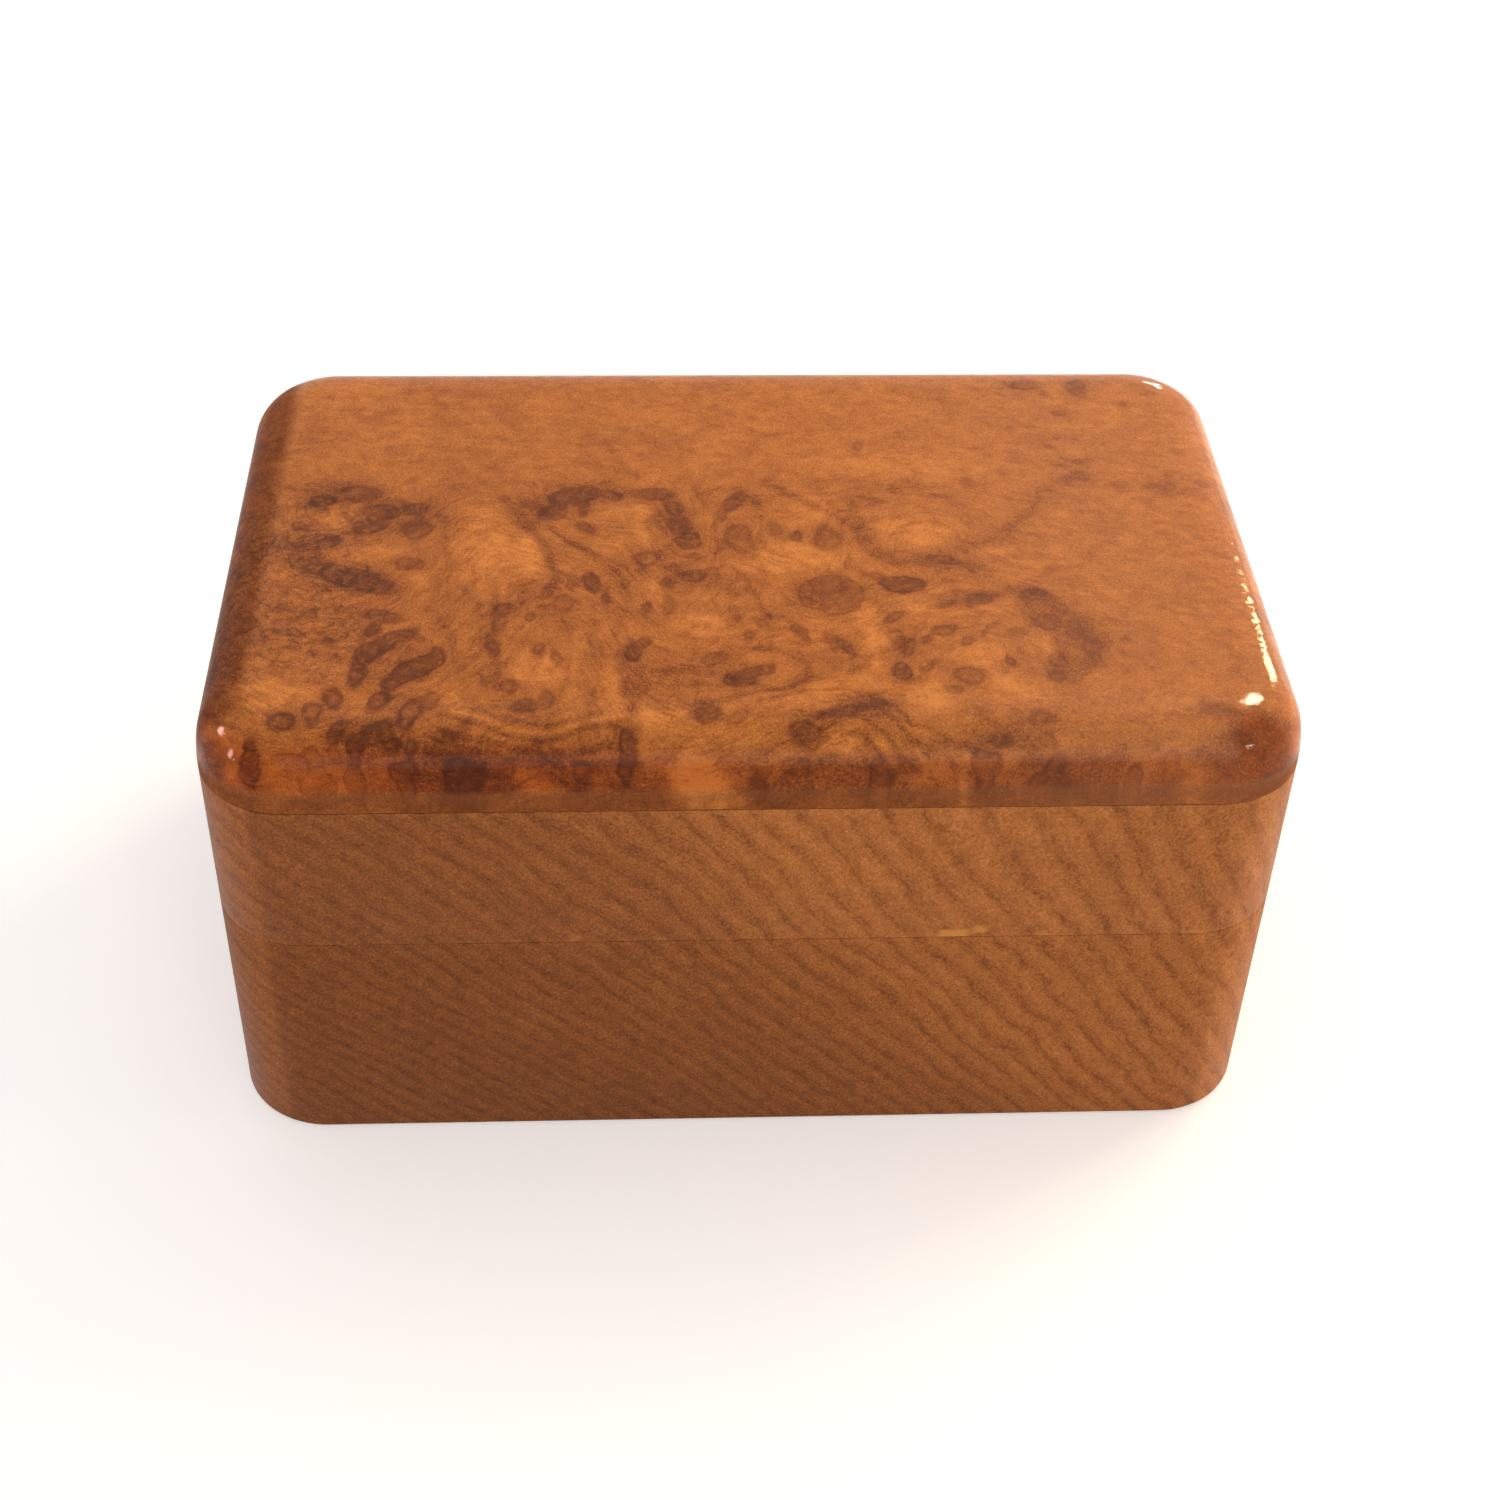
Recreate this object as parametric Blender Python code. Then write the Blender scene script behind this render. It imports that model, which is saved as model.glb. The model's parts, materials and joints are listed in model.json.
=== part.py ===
"""Keepsake box in burl wood, with a lid on two small brass butt hinges.

The body is one block of wood, hollowed right through and then sawn into a base ring and a lid ring.
A thick burl plate is glued over the lid ring, and a thin board is let into the base ring from below.
The two back edges are bevelled into a V, so that the lid opens just past upright and leans there.

The box stands on Z = 0 and is centred on X and Y. Its front faces -Y. Lengths are in metres.
"""
import math

import bmesh
import bpy
from mathutils import Matrix, Vector

# Outside of the box
BOX_WIDTH = 0.1000
BOX_DEPTH = 0.0635
BASE_HEIGHT = 0.0254  # standing face to the middle of the saw cut
LID_RING_HEIGHT = 0.0163  # middle of the saw cut to the middle of the glue line
PLATE_THICKNESS = 0.0078  # middle of the glue line to the top of the burl
CORNER_RADIUS = 0.0087  # upright corners
TOP_ROUNDING = 0.0060  # edge of the burl plate
FOOT_ROUNDING = 0.0005  # edge that the box stands on
RIM_EASING = 0.0003  # sanded edges beside the saw cut

# Hollow
WALL = 0.0080
HOLLOW_CORNER_RADIUS = 0.0050

# Floor board, let in from below
FLOOR_THICKNESS = 0.0040
FLOOR_RECESS = 0.0005  # the board stays clear of the table
LEDGE_WIDTH = 0.0025  # step in the wall that the board is glued against

# Gaps
SAW_CUT = 0.0003
GLUE_LINE = 0.0003
FIT_GAP = 0.0003  # between pieces that don't move on each other
RUNNING_GAP = 0.0003  # between pieces that turn on each other

# Hinges
HINGE_LENGTH = 0.0200
HINGE_FROM_END = 0.0240  # end of the box to the middle of a hinge
KNUCKLES = 5
BARREL_RADIUS = 0.0015
BARREL_SHELTER = 0.0002  # how far the barrel stays inside the back face
PIN_RADIUS = 0.0006
PIN_END_ROUNDING = 0.0002
LEAF_THICKNESS = 0.0009
LEAF_SETBACK = 0.0003  # leaf's edge to the inside of the wall
LEAF_CORNER_RADIUS = 0.0006
LID_STOP_ANGLE = math.radians(95)  # opening at which the two bevels meet

# Countersunk screws
SCREW_FROM_END = 0.0040  # end of a leaf to the middle of its nearer screw
SCREW_LENGTH = 0.0065
SCREW_HEAD_RADIUS = 0.00125
SCREW_SHANK_RADIUS = 0.0006
SCREW_TIP_LENGTH = 0.0016
SLOT_WIDTH = 0.0003
SLOT_DEPTH = 0.00028

# How the shapes are drawn
OVERRUN = 0.0010  # how far a cutter runs past what it cuts
TOUCH = 0.000001  # two points closer than this are one
CORNER_SEGMENTS = 14
ROUNDING_SEGMENTS = 9
SMALL_EDGE_SEGMENTS = 2
LEAF_CORNER_SEGMENTS = 3
BARREL_SEGMENTS = 28
BORE_SEGMENTS = 20
SCREW_SEGMENTS = 16
SMOOTH_ANGLE = math.radians(32)
BEVEL_SHARE = 0.5  # the shape of a bevel that is an arc of a circle

# Levels and places that follow from the sizes
SEAM_LEVEL = BASE_HEIGHT
GLUE_LEVEL = SEAM_LEVEL + LID_RING_HEIGHT
TOP_LEVEL = GLUE_LEVEL + PLATE_THICKNESS
REBATE_TOP = FLOOR_RECESS + FLOOR_THICKNESS + FIT_GAP
HOLLOW_WIDTH = BOX_WIDTH - 2 * WALL
HOLLOW_DEPTH = BOX_DEPTH - 2 * WALL
REBATE_WIDTH = HOLLOW_WIDTH + 2 * LEDGE_WIDTH
REBATE_DEPTH = HOLLOW_DEPTH + 2 * LEDGE_WIDTH
REBATE_CORNER_RADIUS = HOLLOW_CORNER_RADIUS + LEDGE_WIDTH
AXIS_INSET = BARREL_RADIUS + BARREL_SHELTER  # back face to the hinge axis
AXIS_Y = BOX_DEPTH / 2 - AXIS_INSET
LEAF_REACH = WALL - AXIS_INSET - LEAF_SETBACK  # hinge axis to the leaf's edge
KNUCKLE_CLEARANCE = BARREL_RADIUS + RUNNING_GAP
SCREW_REACH = (KNUCKLE_CLEARANCE + LEAF_REACH) / 2  # hinge axis to the row of screws
SCREW_HOLE_RADIUS = SCREW_SHANK_RADIUS + FIT_GAP
COUNTERSINK_RADIUS = SCREW_HEAD_RADIUS + FIT_GAP * math.sqrt(2)
HINGE_OFFSET = BOX_WIDTH / 2 - HINGE_FROM_END
SCREW_OFFSET = HINGE_LENGTH / 2 - SCREW_FROM_END

# Colours as seen on the object (red, green, blue), roughness and metallic value
WOOD = ((0.56, 0.34, 0.18), 0.30, 0.0)
BURL = ((0.62, 0.37, 0.20), 0.22, 0.0)
BOARD = ((0.50, 0.31, 0.18), 0.45, 0.0)
BRASS = ((0.80, 0.62, 0.32), 0.32, 1.0)

BELOW = -1  # the base's side of the saw cut
ABOVE = 1  # the lid's side of it
SLOT_ANGLES = {  # how far each screw happened to be turned when it came tight
    BELOW: (math.radians(24), math.radians(131)),
    ABOVE: (math.radians(68), math.radians(165)),
}


def clear_scene():
    for obj in list(bpy.data.objects):
        bpy.data.objects.remove(obj, do_unlink=True)


def linear(channel):
    """One channel of a seen colour as linear light."""
    return channel / 12.92 if channel <= 0.04045 else ((channel + 0.055) / 1.055) ** 2.4


def finish(obj, look):
    """Give an object a material of its own."""
    colour, roughness, metallic = look
    material = bpy.data.materials.new(obj.name + "_finish")
    material.use_nodes = True
    shader = material.node_tree.nodes["Principled BSDF"]
    shader.inputs["Base Color"].default_value = (*(linear(channel) for channel in colour), 1.0)
    shader.inputs["Roughness"].default_value = roughness
    shader.inputs["Metallic"].default_value = metallic
    obj.data.materials.append(material)


def add_object(name, bm):
    """Turn a finished bmesh into an object whose flat faces stay flat and round ones look round."""
    bmesh.ops.recalc_face_normals(bm, faces=bm.faces)
    mesh = bpy.data.meshes.new(name)
    bm.to_mesh(mesh)
    bm.free()
    mesh.shade_smooth()
    mesh.set_sharp_from_angle(angle=SMOOTH_ANGLE)
    obj = bpy.data.objects.new(name, mesh)
    bpy.context.collection.objects.link(obj)
    return obj


def add_cutter(name, bm):
    cutter = add_object(name, bm)
    cutter.hide_render = True
    cutter.display_type = 'WIRE'
    return cutter


def cut(target, cutter):
    modifier = target.modifiers.new(cutter.name, 'BOOLEAN')
    modifier.object = cutter
    modifier.operation = 'DIFFERENCE'
    modifier.solver = 'EXACT'


def block(low, high):
    """A plain block between two opposite corners."""
    low, high = Vector(low), Vector(high)
    bm = bmesh.new()
    bmesh.ops.create_cube(bm, size=1)
    bmesh.ops.scale(bm, vec=high - low, verts=bm.verts)
    bmesh.ops.translate(bm, vec=(low + high) / 2, verts=bm.verts)
    return bm


def round_edges(bm, edges, radius, segments):
    bmesh.ops.bevel(bm, geom=edges, offset=radius, segments=segments, profile=BEVEL_SHARE, affect='EDGES')


def upright_edges(bm):
    """Edges parallel to Z."""
    def is_upright(edge):
        run = edge.verts[0].co - edge.verts[1].co
        return math.hypot(run.x, run.y) < TOUCH
    return [edge for edge in bm.edges if is_upright(edge)]


def rim_edges(bm, level):
    """Edges that lie at one height."""
    return [edge for edge in bm.edges if all(abs(vert.co.z - level) < TOUCH for vert in edge.verts)]


def rounded_block(width, depth, low, high, corner_radius):
    """A block from one height to another, centred on Z, with rounded upright corners."""
    bm = block((-width / 2, -depth / 2, low), (width / 2, depth / 2, high))
    round_edges(bm, upright_edges(bm), corner_radius, CORNER_SEGMENTS)
    return bm


def rod(centre, radius, length, segments):
    """A round bar along X."""
    bm = bmesh.new()
    bmesh.ops.create_cone(
        bm, cap_ends=True, segments=segments, radius1=radius, radius2=radius, depth=length,
        matrix=Matrix.Translation(centre) @ Matrix.Rotation(math.radians(90), 4, 'Y'))
    return bm


def prism(profile, x, half_length):
    """A bar along X with the given (y, z) profile."""
    bm = bmesh.new()
    face = bm.faces.new([bm.verts.new((x - half_length, y, z)) for y, z in profile])
    grown = bmesh.ops.extrude_face_region(bm, geom=[face])["geom"]
    far_end = [item for item in grown if isinstance(item, bmesh.types.BMVert)]
    bmesh.ops.translate(bm, vec=(2 * half_length, 0, 0), verts=far_end)
    return bm


def turned(profile, place, side):
    """A turned shape. Its profile is (radius, depth), and depth runs away from the saw cut."""
    bm = bmesh.new()
    verts = [bm.verts.new((radius, 0, side * depth)) for radius, depth in profile]
    edges = [bm.edges.new(pair) for pair in zip(verts, verts[1:])]
    bmesh.ops.spin(
        bm, geom=verts + edges, angle=math.tau, steps=SCREW_SEGMENTS, axis=(0, 0, 1), cent=(0, 0, 0),
        use_merge=True)
    bmesh.ops.remove_doubles(bm, verts=bm.verts, dist=TOUCH)
    bmesh.ops.translate(bm, vec=place, verts=bm.verts)
    return bm


def rim_level(side):
    """Height of the sawn rim on one side of the cut. The hinge leaves lie flush with it."""
    return SEAM_LEVEL + side * SAW_CUT / 2


def screw_places(hinge_x, side):
    """Middle of each screw's head, in the face of its leaf."""
    y = AXIS_Y - SCREW_REACH
    return [Vector((hinge_x + offset, y, rim_level(side))) for offset in (-SCREW_OFFSET, SCREW_OFFSET)]


def screw_profile():
    head_height = SCREW_HEAD_RADIUS - SCREW_SHANK_RADIUS
    return [
        (0, 0),
        (SCREW_HEAD_RADIUS, 0),
        (SCREW_SHANK_RADIUS, head_height),
        (SCREW_SHANK_RADIUS, SCREW_LENGTH - SCREW_TIP_LENGTH),
        (0, SCREW_LENGTH),
    ]


def screw_hole_profile():
    """Countersunk through the leaf and blind in the wood."""
    cone_height = COUNTERSINK_RADIUS - SCREW_HOLE_RADIUS
    return [
        (0, -OVERRUN),
        (COUNTERSINK_RADIUS, -OVERRUN),
        (COUNTERSINK_RADIUS, 0),
        (SCREW_HOLE_RADIUS, cone_height),
        (SCREW_HOLE_RADIUS, SCREW_LENGTH + FIT_GAP),
        (0, SCREW_LENGTH + FIT_GAP),
    ]


def back_bevel_profile(side):
    """What the bevel takes off one side of the saw cut, down to a plane beside the hinge axis."""
    half_angle = LID_STOP_ANGLE / 2
    half_gap = SAW_CUT / 2
    run = (AXIS_INSET + OVERRUN) / math.cos(half_angle)
    start = (AXIS_Y - half_gap * math.tan(half_angle / 2), rim_level(side))
    end = (start[0] + run * math.cos(half_angle), start[1] + side * run * math.sin(half_angle))
    past_seam = SEAM_LEVEL - side * OVERRUN
    return [start, end, (end[0], past_seam), (start[0], past_seam)]


def hinge_cutters(name, hinge_x, side):
    """What one hinge leaf needs cut out of the wood on its side of the saw cut."""
    half_length = HINGE_LENGTH / 2 + FIT_GAP
    rim = rim_level(side)
    levels = sorted((rim - side * OVERRUN, rim + side * (LEAF_THICKNESS + FIT_GAP)))
    mortise = block(
        (hinge_x - half_length, AXIS_Y - LEAF_REACH - LEAF_SETBACK - OVERRUN, levels[0]),
        (hinge_x + half_length, AXIS_Y, levels[1]))
    barrel_bed = rod((hinge_x, AXIS_Y, SEAM_LEVEL), KNUCKLE_CLEARANCE, 2 * half_length, BARREL_SEGMENTS)
    cutters = [add_cutter(name + "_mortise", mortise), add_cutter(name + "_barrel_bed", barrel_bed)]
    return cutters + screw_hole_cutters(name, hinge_x, side)


def screw_hole_cutters(name, hinge_x, side):
    return [add_cutter(f"{name}_screw_hole_{number}", turned(screw_hole_profile(), place, side))
            for number, place in enumerate(screw_places(hinge_x, side), 1)]


def cut_for_hinges(ring, side):
    """Bevel the back edge of a ring, and let the hinge leaves into it."""
    bevel = prism(back_bevel_profile(side), 0, BOX_WIDTH / 2 + OVERRUN)
    cut(ring, add_cutter(ring.name + "_back_bevel", bevel))
    for hinge, hinge_x in (("left", -HINGE_OFFSET), ("right", HINGE_OFFSET)):
        for cutter in hinge_cutters(f"{ring.name}_{hinge}", hinge_x, side):
            cut(ring, cutter)


def make_base_body(hollow):
    """Lower part of the block: four walls in one piece, with a rebate below for the floor."""
    bm = rounded_block(BOX_WIDTH, BOX_DEPTH, 0, rim_level(BELOW), CORNER_RADIUS)
    round_edges(bm, rim_edges(bm, 0), FOOT_ROUNDING, SMALL_EDGE_SEGMENTS)
    round_edges(bm, rim_edges(bm, rim_level(BELOW)), RIM_EASING, SMALL_EDGE_SEGMENTS)
    base = add_object("base_body", bm)
    rebate = rounded_block(REBATE_WIDTH, REBATE_DEPTH, -OVERRUN, REBATE_TOP, REBATE_CORNER_RADIUS)
    cut(base, hollow)
    cut(base, add_cutter("base_rebate", rebate))
    cut_for_hinges(base, BELOW)
    finish(base, WOOD)


def make_base_floor():
    """Board glued into the base's rebate."""
    width = REBATE_WIDTH - 2 * FIT_GAP
    depth = REBATE_DEPTH - 2 * FIT_GAP
    top = FLOOR_RECESS + FLOOR_THICKNESS
    bm = rounded_block(width, depth, FLOOR_RECESS, top, REBATE_CORNER_RADIUS - FIT_GAP)
    finish(add_object("base_floor", bm), BOARD)


def make_lid_body(hollow):
    """Upper part of the block: four walls in one piece, open above until the burl is glued on."""
    bm = rounded_block(BOX_WIDTH, BOX_DEPTH, rim_level(ABOVE), GLUE_LEVEL - GLUE_LINE / 2, CORNER_RADIUS)
    round_edges(bm, rim_edges(bm, rim_level(ABOVE)), RIM_EASING, SMALL_EDGE_SEGMENTS)
    lid = add_object("lid_body", bm)
    cut(lid, hollow)
    cut_for_hinges(lid, ABOVE)
    finish(lid, WOOD)
    return lid


def make_burl_plate():
    """Thick plate of burl that closes the lid, with a generous rounding all round its top."""
    low = GLUE_LEVEL + GLUE_LINE / 2
    bm = rounded_block(BOX_WIDTH, BOX_DEPTH, low, TOP_LEVEL, CORNER_RADIUS)
    round_edges(bm, rim_edges(bm, TOP_LEVEL), TOP_ROUNDING, ROUNDING_SEGMENTS)
    plate = add_object("burl_top_plate", bm)
    finish(plate, BURL)
    return plate


def knuckle_slots(name, hinge_x, side):
    """Cutters that free a leaf's barrel where the other leaf's knuckles turn.

    The base's leaf keeps the two end knuckles and every other one between them.
    """
    pitch = HINGE_LENGTH / KNUCKLES
    start = hinge_x - HINGE_LENGTH / 2
    reach = KNUCKLE_CLEARANCE
    slots = []
    for knuckle in range(1 if side == BELOW else 0, KNUCKLES, 2):
        at_left_end = knuckle == 0
        at_right_end = knuckle == KNUCKLES - 1
        left = start + knuckle * pitch - (OVERRUN if at_left_end else RUNNING_GAP / 2)
        right = start + (knuckle + 1) * pitch + (OVERRUN if at_right_end else RUNNING_GAP / 2)
        slot = block((left, AXIS_Y - reach, SEAM_LEVEL - reach), (right, AXIS_Y + reach, SEAM_LEVEL + reach))
        slots.append(add_cutter(f"{name}_slot_{knuckle + 1}", slot))
    return slots


def leaf_profile(side):
    """Section of a leaf: its plate, and the barrel that the plate runs into."""
    face = SAW_CUT / 2
    back = face + LEAF_THICKNESS
    first = math.asin(face / BARREL_RADIUS)  # where the plate's face meets the barrel
    last = math.asin(back / BARREL_RADIUS)  # where its back does
    sweep = math.tau + first - last
    angles = [first - sweep * step / BARREL_SEGMENTS for step in range(BARREL_SEGMENTS + 1)]
    barrel = [(-BARREL_RADIUS * math.cos(angle), BARREL_RADIUS * math.sin(angle)) for angle in angles]
    outline = [(-LEAF_REACH, face)] + barrel + [(-LEAF_REACH, back)]
    return [(AXIS_Y + y, SEAM_LEVEL + side * z) for y, z in outline]


def make_leaf(name, hinge_x, side):
    """One leaf: a plate let in flush with the rim, with its share of the barrel's knuckles."""
    bm = prism(leaf_profile(side), hinge_x, HINGE_LENGTH / 2)
    free_corners = [edge for edge in upright_edges(bm) if edge.verts[0].co.y < AXIS_Y - KNUCKLE_CLEARANCE]
    round_edges(bm, free_corners, LEAF_CORNER_RADIUS, LEAF_CORNER_SEGMENTS)
    leaf = add_object(name, bm)
    axis_point = (hinge_x, AXIS_Y, SEAM_LEVEL)
    bore = rod(axis_point, PIN_RADIUS + RUNNING_GAP, HINGE_LENGTH + 2 * OVERRUN, BORE_SEGMENTS)
    cut(leaf, add_cutter(name + "_bore", bore))
    for cutter in knuckle_slots(name, hinge_x, side) + screw_hole_cutters(name, hinge_x, side):
        cut(leaf, cutter)
    finish(leaf, BRASS)
    return leaf


def make_pin(name, hinge_x):
    """Pin through all the knuckles, with rounded ends."""
    bm = rod((hinge_x, AXIS_Y, SEAM_LEVEL), PIN_RADIUS, HINGE_LENGTH, BORE_SEGMENTS)
    ends = [edge for edge in bm.edges if abs(edge.verts[0].co.x - edge.verts[1].co.x) < TOUCH]
    round_edges(bm, ends, PIN_END_ROUNDING, SMALL_EDGE_SEGMENTS)
    finish(add_object(name, bm), BRASS)


def make_screw(name, place, side, slot_angle):
    """A countersunk wood screw with a straight slot across its head."""
    screw = add_object(name, turned(screw_profile(), place, side))
    half_length = SCREW_HEAD_RADIUS + OVERRUN
    depths = sorted((-side * OVERRUN, side * SLOT_DEPTH))
    slot = block((-half_length, -SLOT_WIDTH / 2, depths[0]), (half_length, SLOT_WIDTH / 2, depths[1]))
    turn = Matrix.Rotation(slot_angle, 4, 'Z')
    bmesh.ops.transform(slot, matrix=Matrix.Translation(place) @ turn, verts=slot.verts)
    cut(screw, add_cutter(name + "_slot", slot))
    finish(screw, BRASS)
    return screw


def make_screws(name, hinge_x, side):
    angles = SLOT_ANGLES[side]
    return [make_screw(f"{name}_{number}", place, side, angle)
            for number, (place, angle) in enumerate(zip(screw_places(hinge_x, side), angles), 1)]


def make_hinge(name, hinge_x):
    """A butt hinge. Returns the pieces that turn with the lid."""
    make_leaf(name + "_base_leaf", hinge_x, BELOW)
    make_pin(name + "_pin", hinge_x)
    make_screws(name + "_base_screw", hinge_x, BELOW)
    lid_leaf = make_leaf(name + "_lid_leaf", hinge_x, ABOVE)
    return [lid_leaf] + make_screws(name + "_lid_screw", hinge_x, ABOVE)


def hang_on_axis(pieces):
    """Parent the lid's pieces to an empty on the hinge axis, so that turning it opens the lid."""
    axis = bpy.data.objects.new("lid_hinge_axis", None)
    axis.location = (0, AXIS_Y, SEAM_LEVEL)
    axis.empty_display_size = BOX_WIDTH / 2
    bpy.context.collection.objects.link(axis)
    bpy.context.view_layer.update()
    for piece in pieces:
        piece.parent = axis
        piece.matrix_parent_inverse = axis.matrix_world.inverted()


def main():
    clear_scene()
    hollow = add_cutter("hollow", rounded_block(
        HOLLOW_WIDTH, HOLLOW_DEPTH, -OVERRUN, GLUE_LEVEL + OVERRUN, HOLLOW_CORNER_RADIUS))
    make_base_body(hollow)
    make_base_floor()
    lid_pieces = [make_lid_body(hollow), make_burl_plate()]
    lid_pieces += make_hinge("hinge_left", -HINGE_OFFSET)
    lid_pieces += make_hinge("hinge_right", HINGE_OFFSET)
    hang_on_axis(lid_pieces)


main()
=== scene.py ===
"""Keepsake box in burl wood: looks, floor, lamps and camera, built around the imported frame.

Lengths in the panel are in metres. Patterns are laid out in millimetres, because that is how wood is read.
"""
import json
import math

import bmesh
import bpy
import numpy as np
from mathutils import Color, Matrix, Vector, noise


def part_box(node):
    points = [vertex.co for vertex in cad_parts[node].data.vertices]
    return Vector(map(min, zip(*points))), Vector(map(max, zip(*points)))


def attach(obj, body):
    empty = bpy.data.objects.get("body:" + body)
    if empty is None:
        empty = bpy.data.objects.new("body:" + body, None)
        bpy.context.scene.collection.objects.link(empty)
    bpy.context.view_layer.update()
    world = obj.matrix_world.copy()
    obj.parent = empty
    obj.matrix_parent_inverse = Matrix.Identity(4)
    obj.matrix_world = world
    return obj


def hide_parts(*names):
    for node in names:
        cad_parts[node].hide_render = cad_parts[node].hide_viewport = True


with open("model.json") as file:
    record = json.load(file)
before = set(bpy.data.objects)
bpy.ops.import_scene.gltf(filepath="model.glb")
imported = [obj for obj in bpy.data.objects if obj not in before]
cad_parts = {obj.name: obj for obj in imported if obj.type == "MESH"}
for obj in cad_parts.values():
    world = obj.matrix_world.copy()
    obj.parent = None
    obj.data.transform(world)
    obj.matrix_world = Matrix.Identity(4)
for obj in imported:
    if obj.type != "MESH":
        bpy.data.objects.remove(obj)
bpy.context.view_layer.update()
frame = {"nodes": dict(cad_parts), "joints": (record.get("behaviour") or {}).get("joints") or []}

bl_info = {
    "name": "Burl Keepsake Box",
    "version": (1, 0, 0),
    "blender": (4, 5, 0),
    "location": "3D View > Sidebar > Keepsake Box",
    "description": "Dresses the frame of a small hinged box in burl wood",
    "category": "Object",
}

MM = 0.001

# What the frame fixes
PLATE_LOW, PLATE_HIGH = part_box("burl_top_plate")
LID_LOW, LID_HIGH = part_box("lid_body")
BASE_LOW, BASE_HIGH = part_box("base_body")
BOARD_LOW, BOARD_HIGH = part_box("base_floor")
SEAM_LEVEL = (BASE_HIGH.z + LID_LOW.z) / 2
GLUE_LEVEL = (LID_HIGH.z + PLATE_LOW.z) / 2
LID_HINGE = frame["joints"][0]
HINGE_AXIS = Vector(LID_HINGE["pos_m"])
STOP_ANGLE = math.radians(LID_HINGE["range_deg"][1])
HINGES = ("hinge_left", "hinge_right")
BELOW, ABOVE = -1, 1  # sides of the saw cut

# Modelling, in metres and radians
TOUCH = 0.000002  # two places closer than this are one
RIM_TURN = 0.5  # a rim turns more than this
SMOOTH_TURN = 0.6  # an edge that turns more than this stays sharp
OUTER_SHARE = 0.9  # an edge farther out than this share is not the hollow's
PLATE_STEPS, WALL_STEPS, HOLLOW_STEPS, BARREL_STEPS, FOOT_STEPS, EASING_STEPS = 40, 24, 16, 48, 4, 3
PLATE_PROFILE = 0.63  # fuller than a quarter circle, which is 0.5
BED_PLAY, BED_DEPTH, BARREL_RADIUS = 0.15 * MM, 1.05 * MM, 1.8 * MM
REBATE_PLAY, BOARD_PLAY, BOARD_ROUNDING = 0.1 * MM, 0.3 * MM, 0.25 * MM
FLOOR_SIDE, FLOOR_DROP = 6, 0.01 * MM

# How the burl's figure wanders, in millimetres, and the layers that carry it
DRIFT_SEED, DRIFT_SCALE, DRIFT_LEVEL, DRIFT_REACH = 4, 0.4, 2.475, 0.4
FAR_FROM_EYES = -3.0
# The last two layers are painted shade: on the rounding, where pooled varnish is added too, and at the left
# end.
LAYERS = ("growth", "eye", "eye_depth", "heart", "cloud", "stain", "shore")

# Where the woods change, and where painted light falls on the corners, in millimetres: from where to where
FRONT = (-29, -31)
PAINTED_LIGHT_CORNER_SIDE, PAINTED_LIGHT_CORNER_FRONT = (44.4, 45.4), (26, 29)
HOLLOW_SIDE, HOLLOW_FRONT = (42.4, 42.2), (24.2, 24.0)
STRIP, LACQUER = (43.2, 44.6), (42.6, 44.2)  # levels at the plate's edge: bare strip, then lacquer

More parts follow.
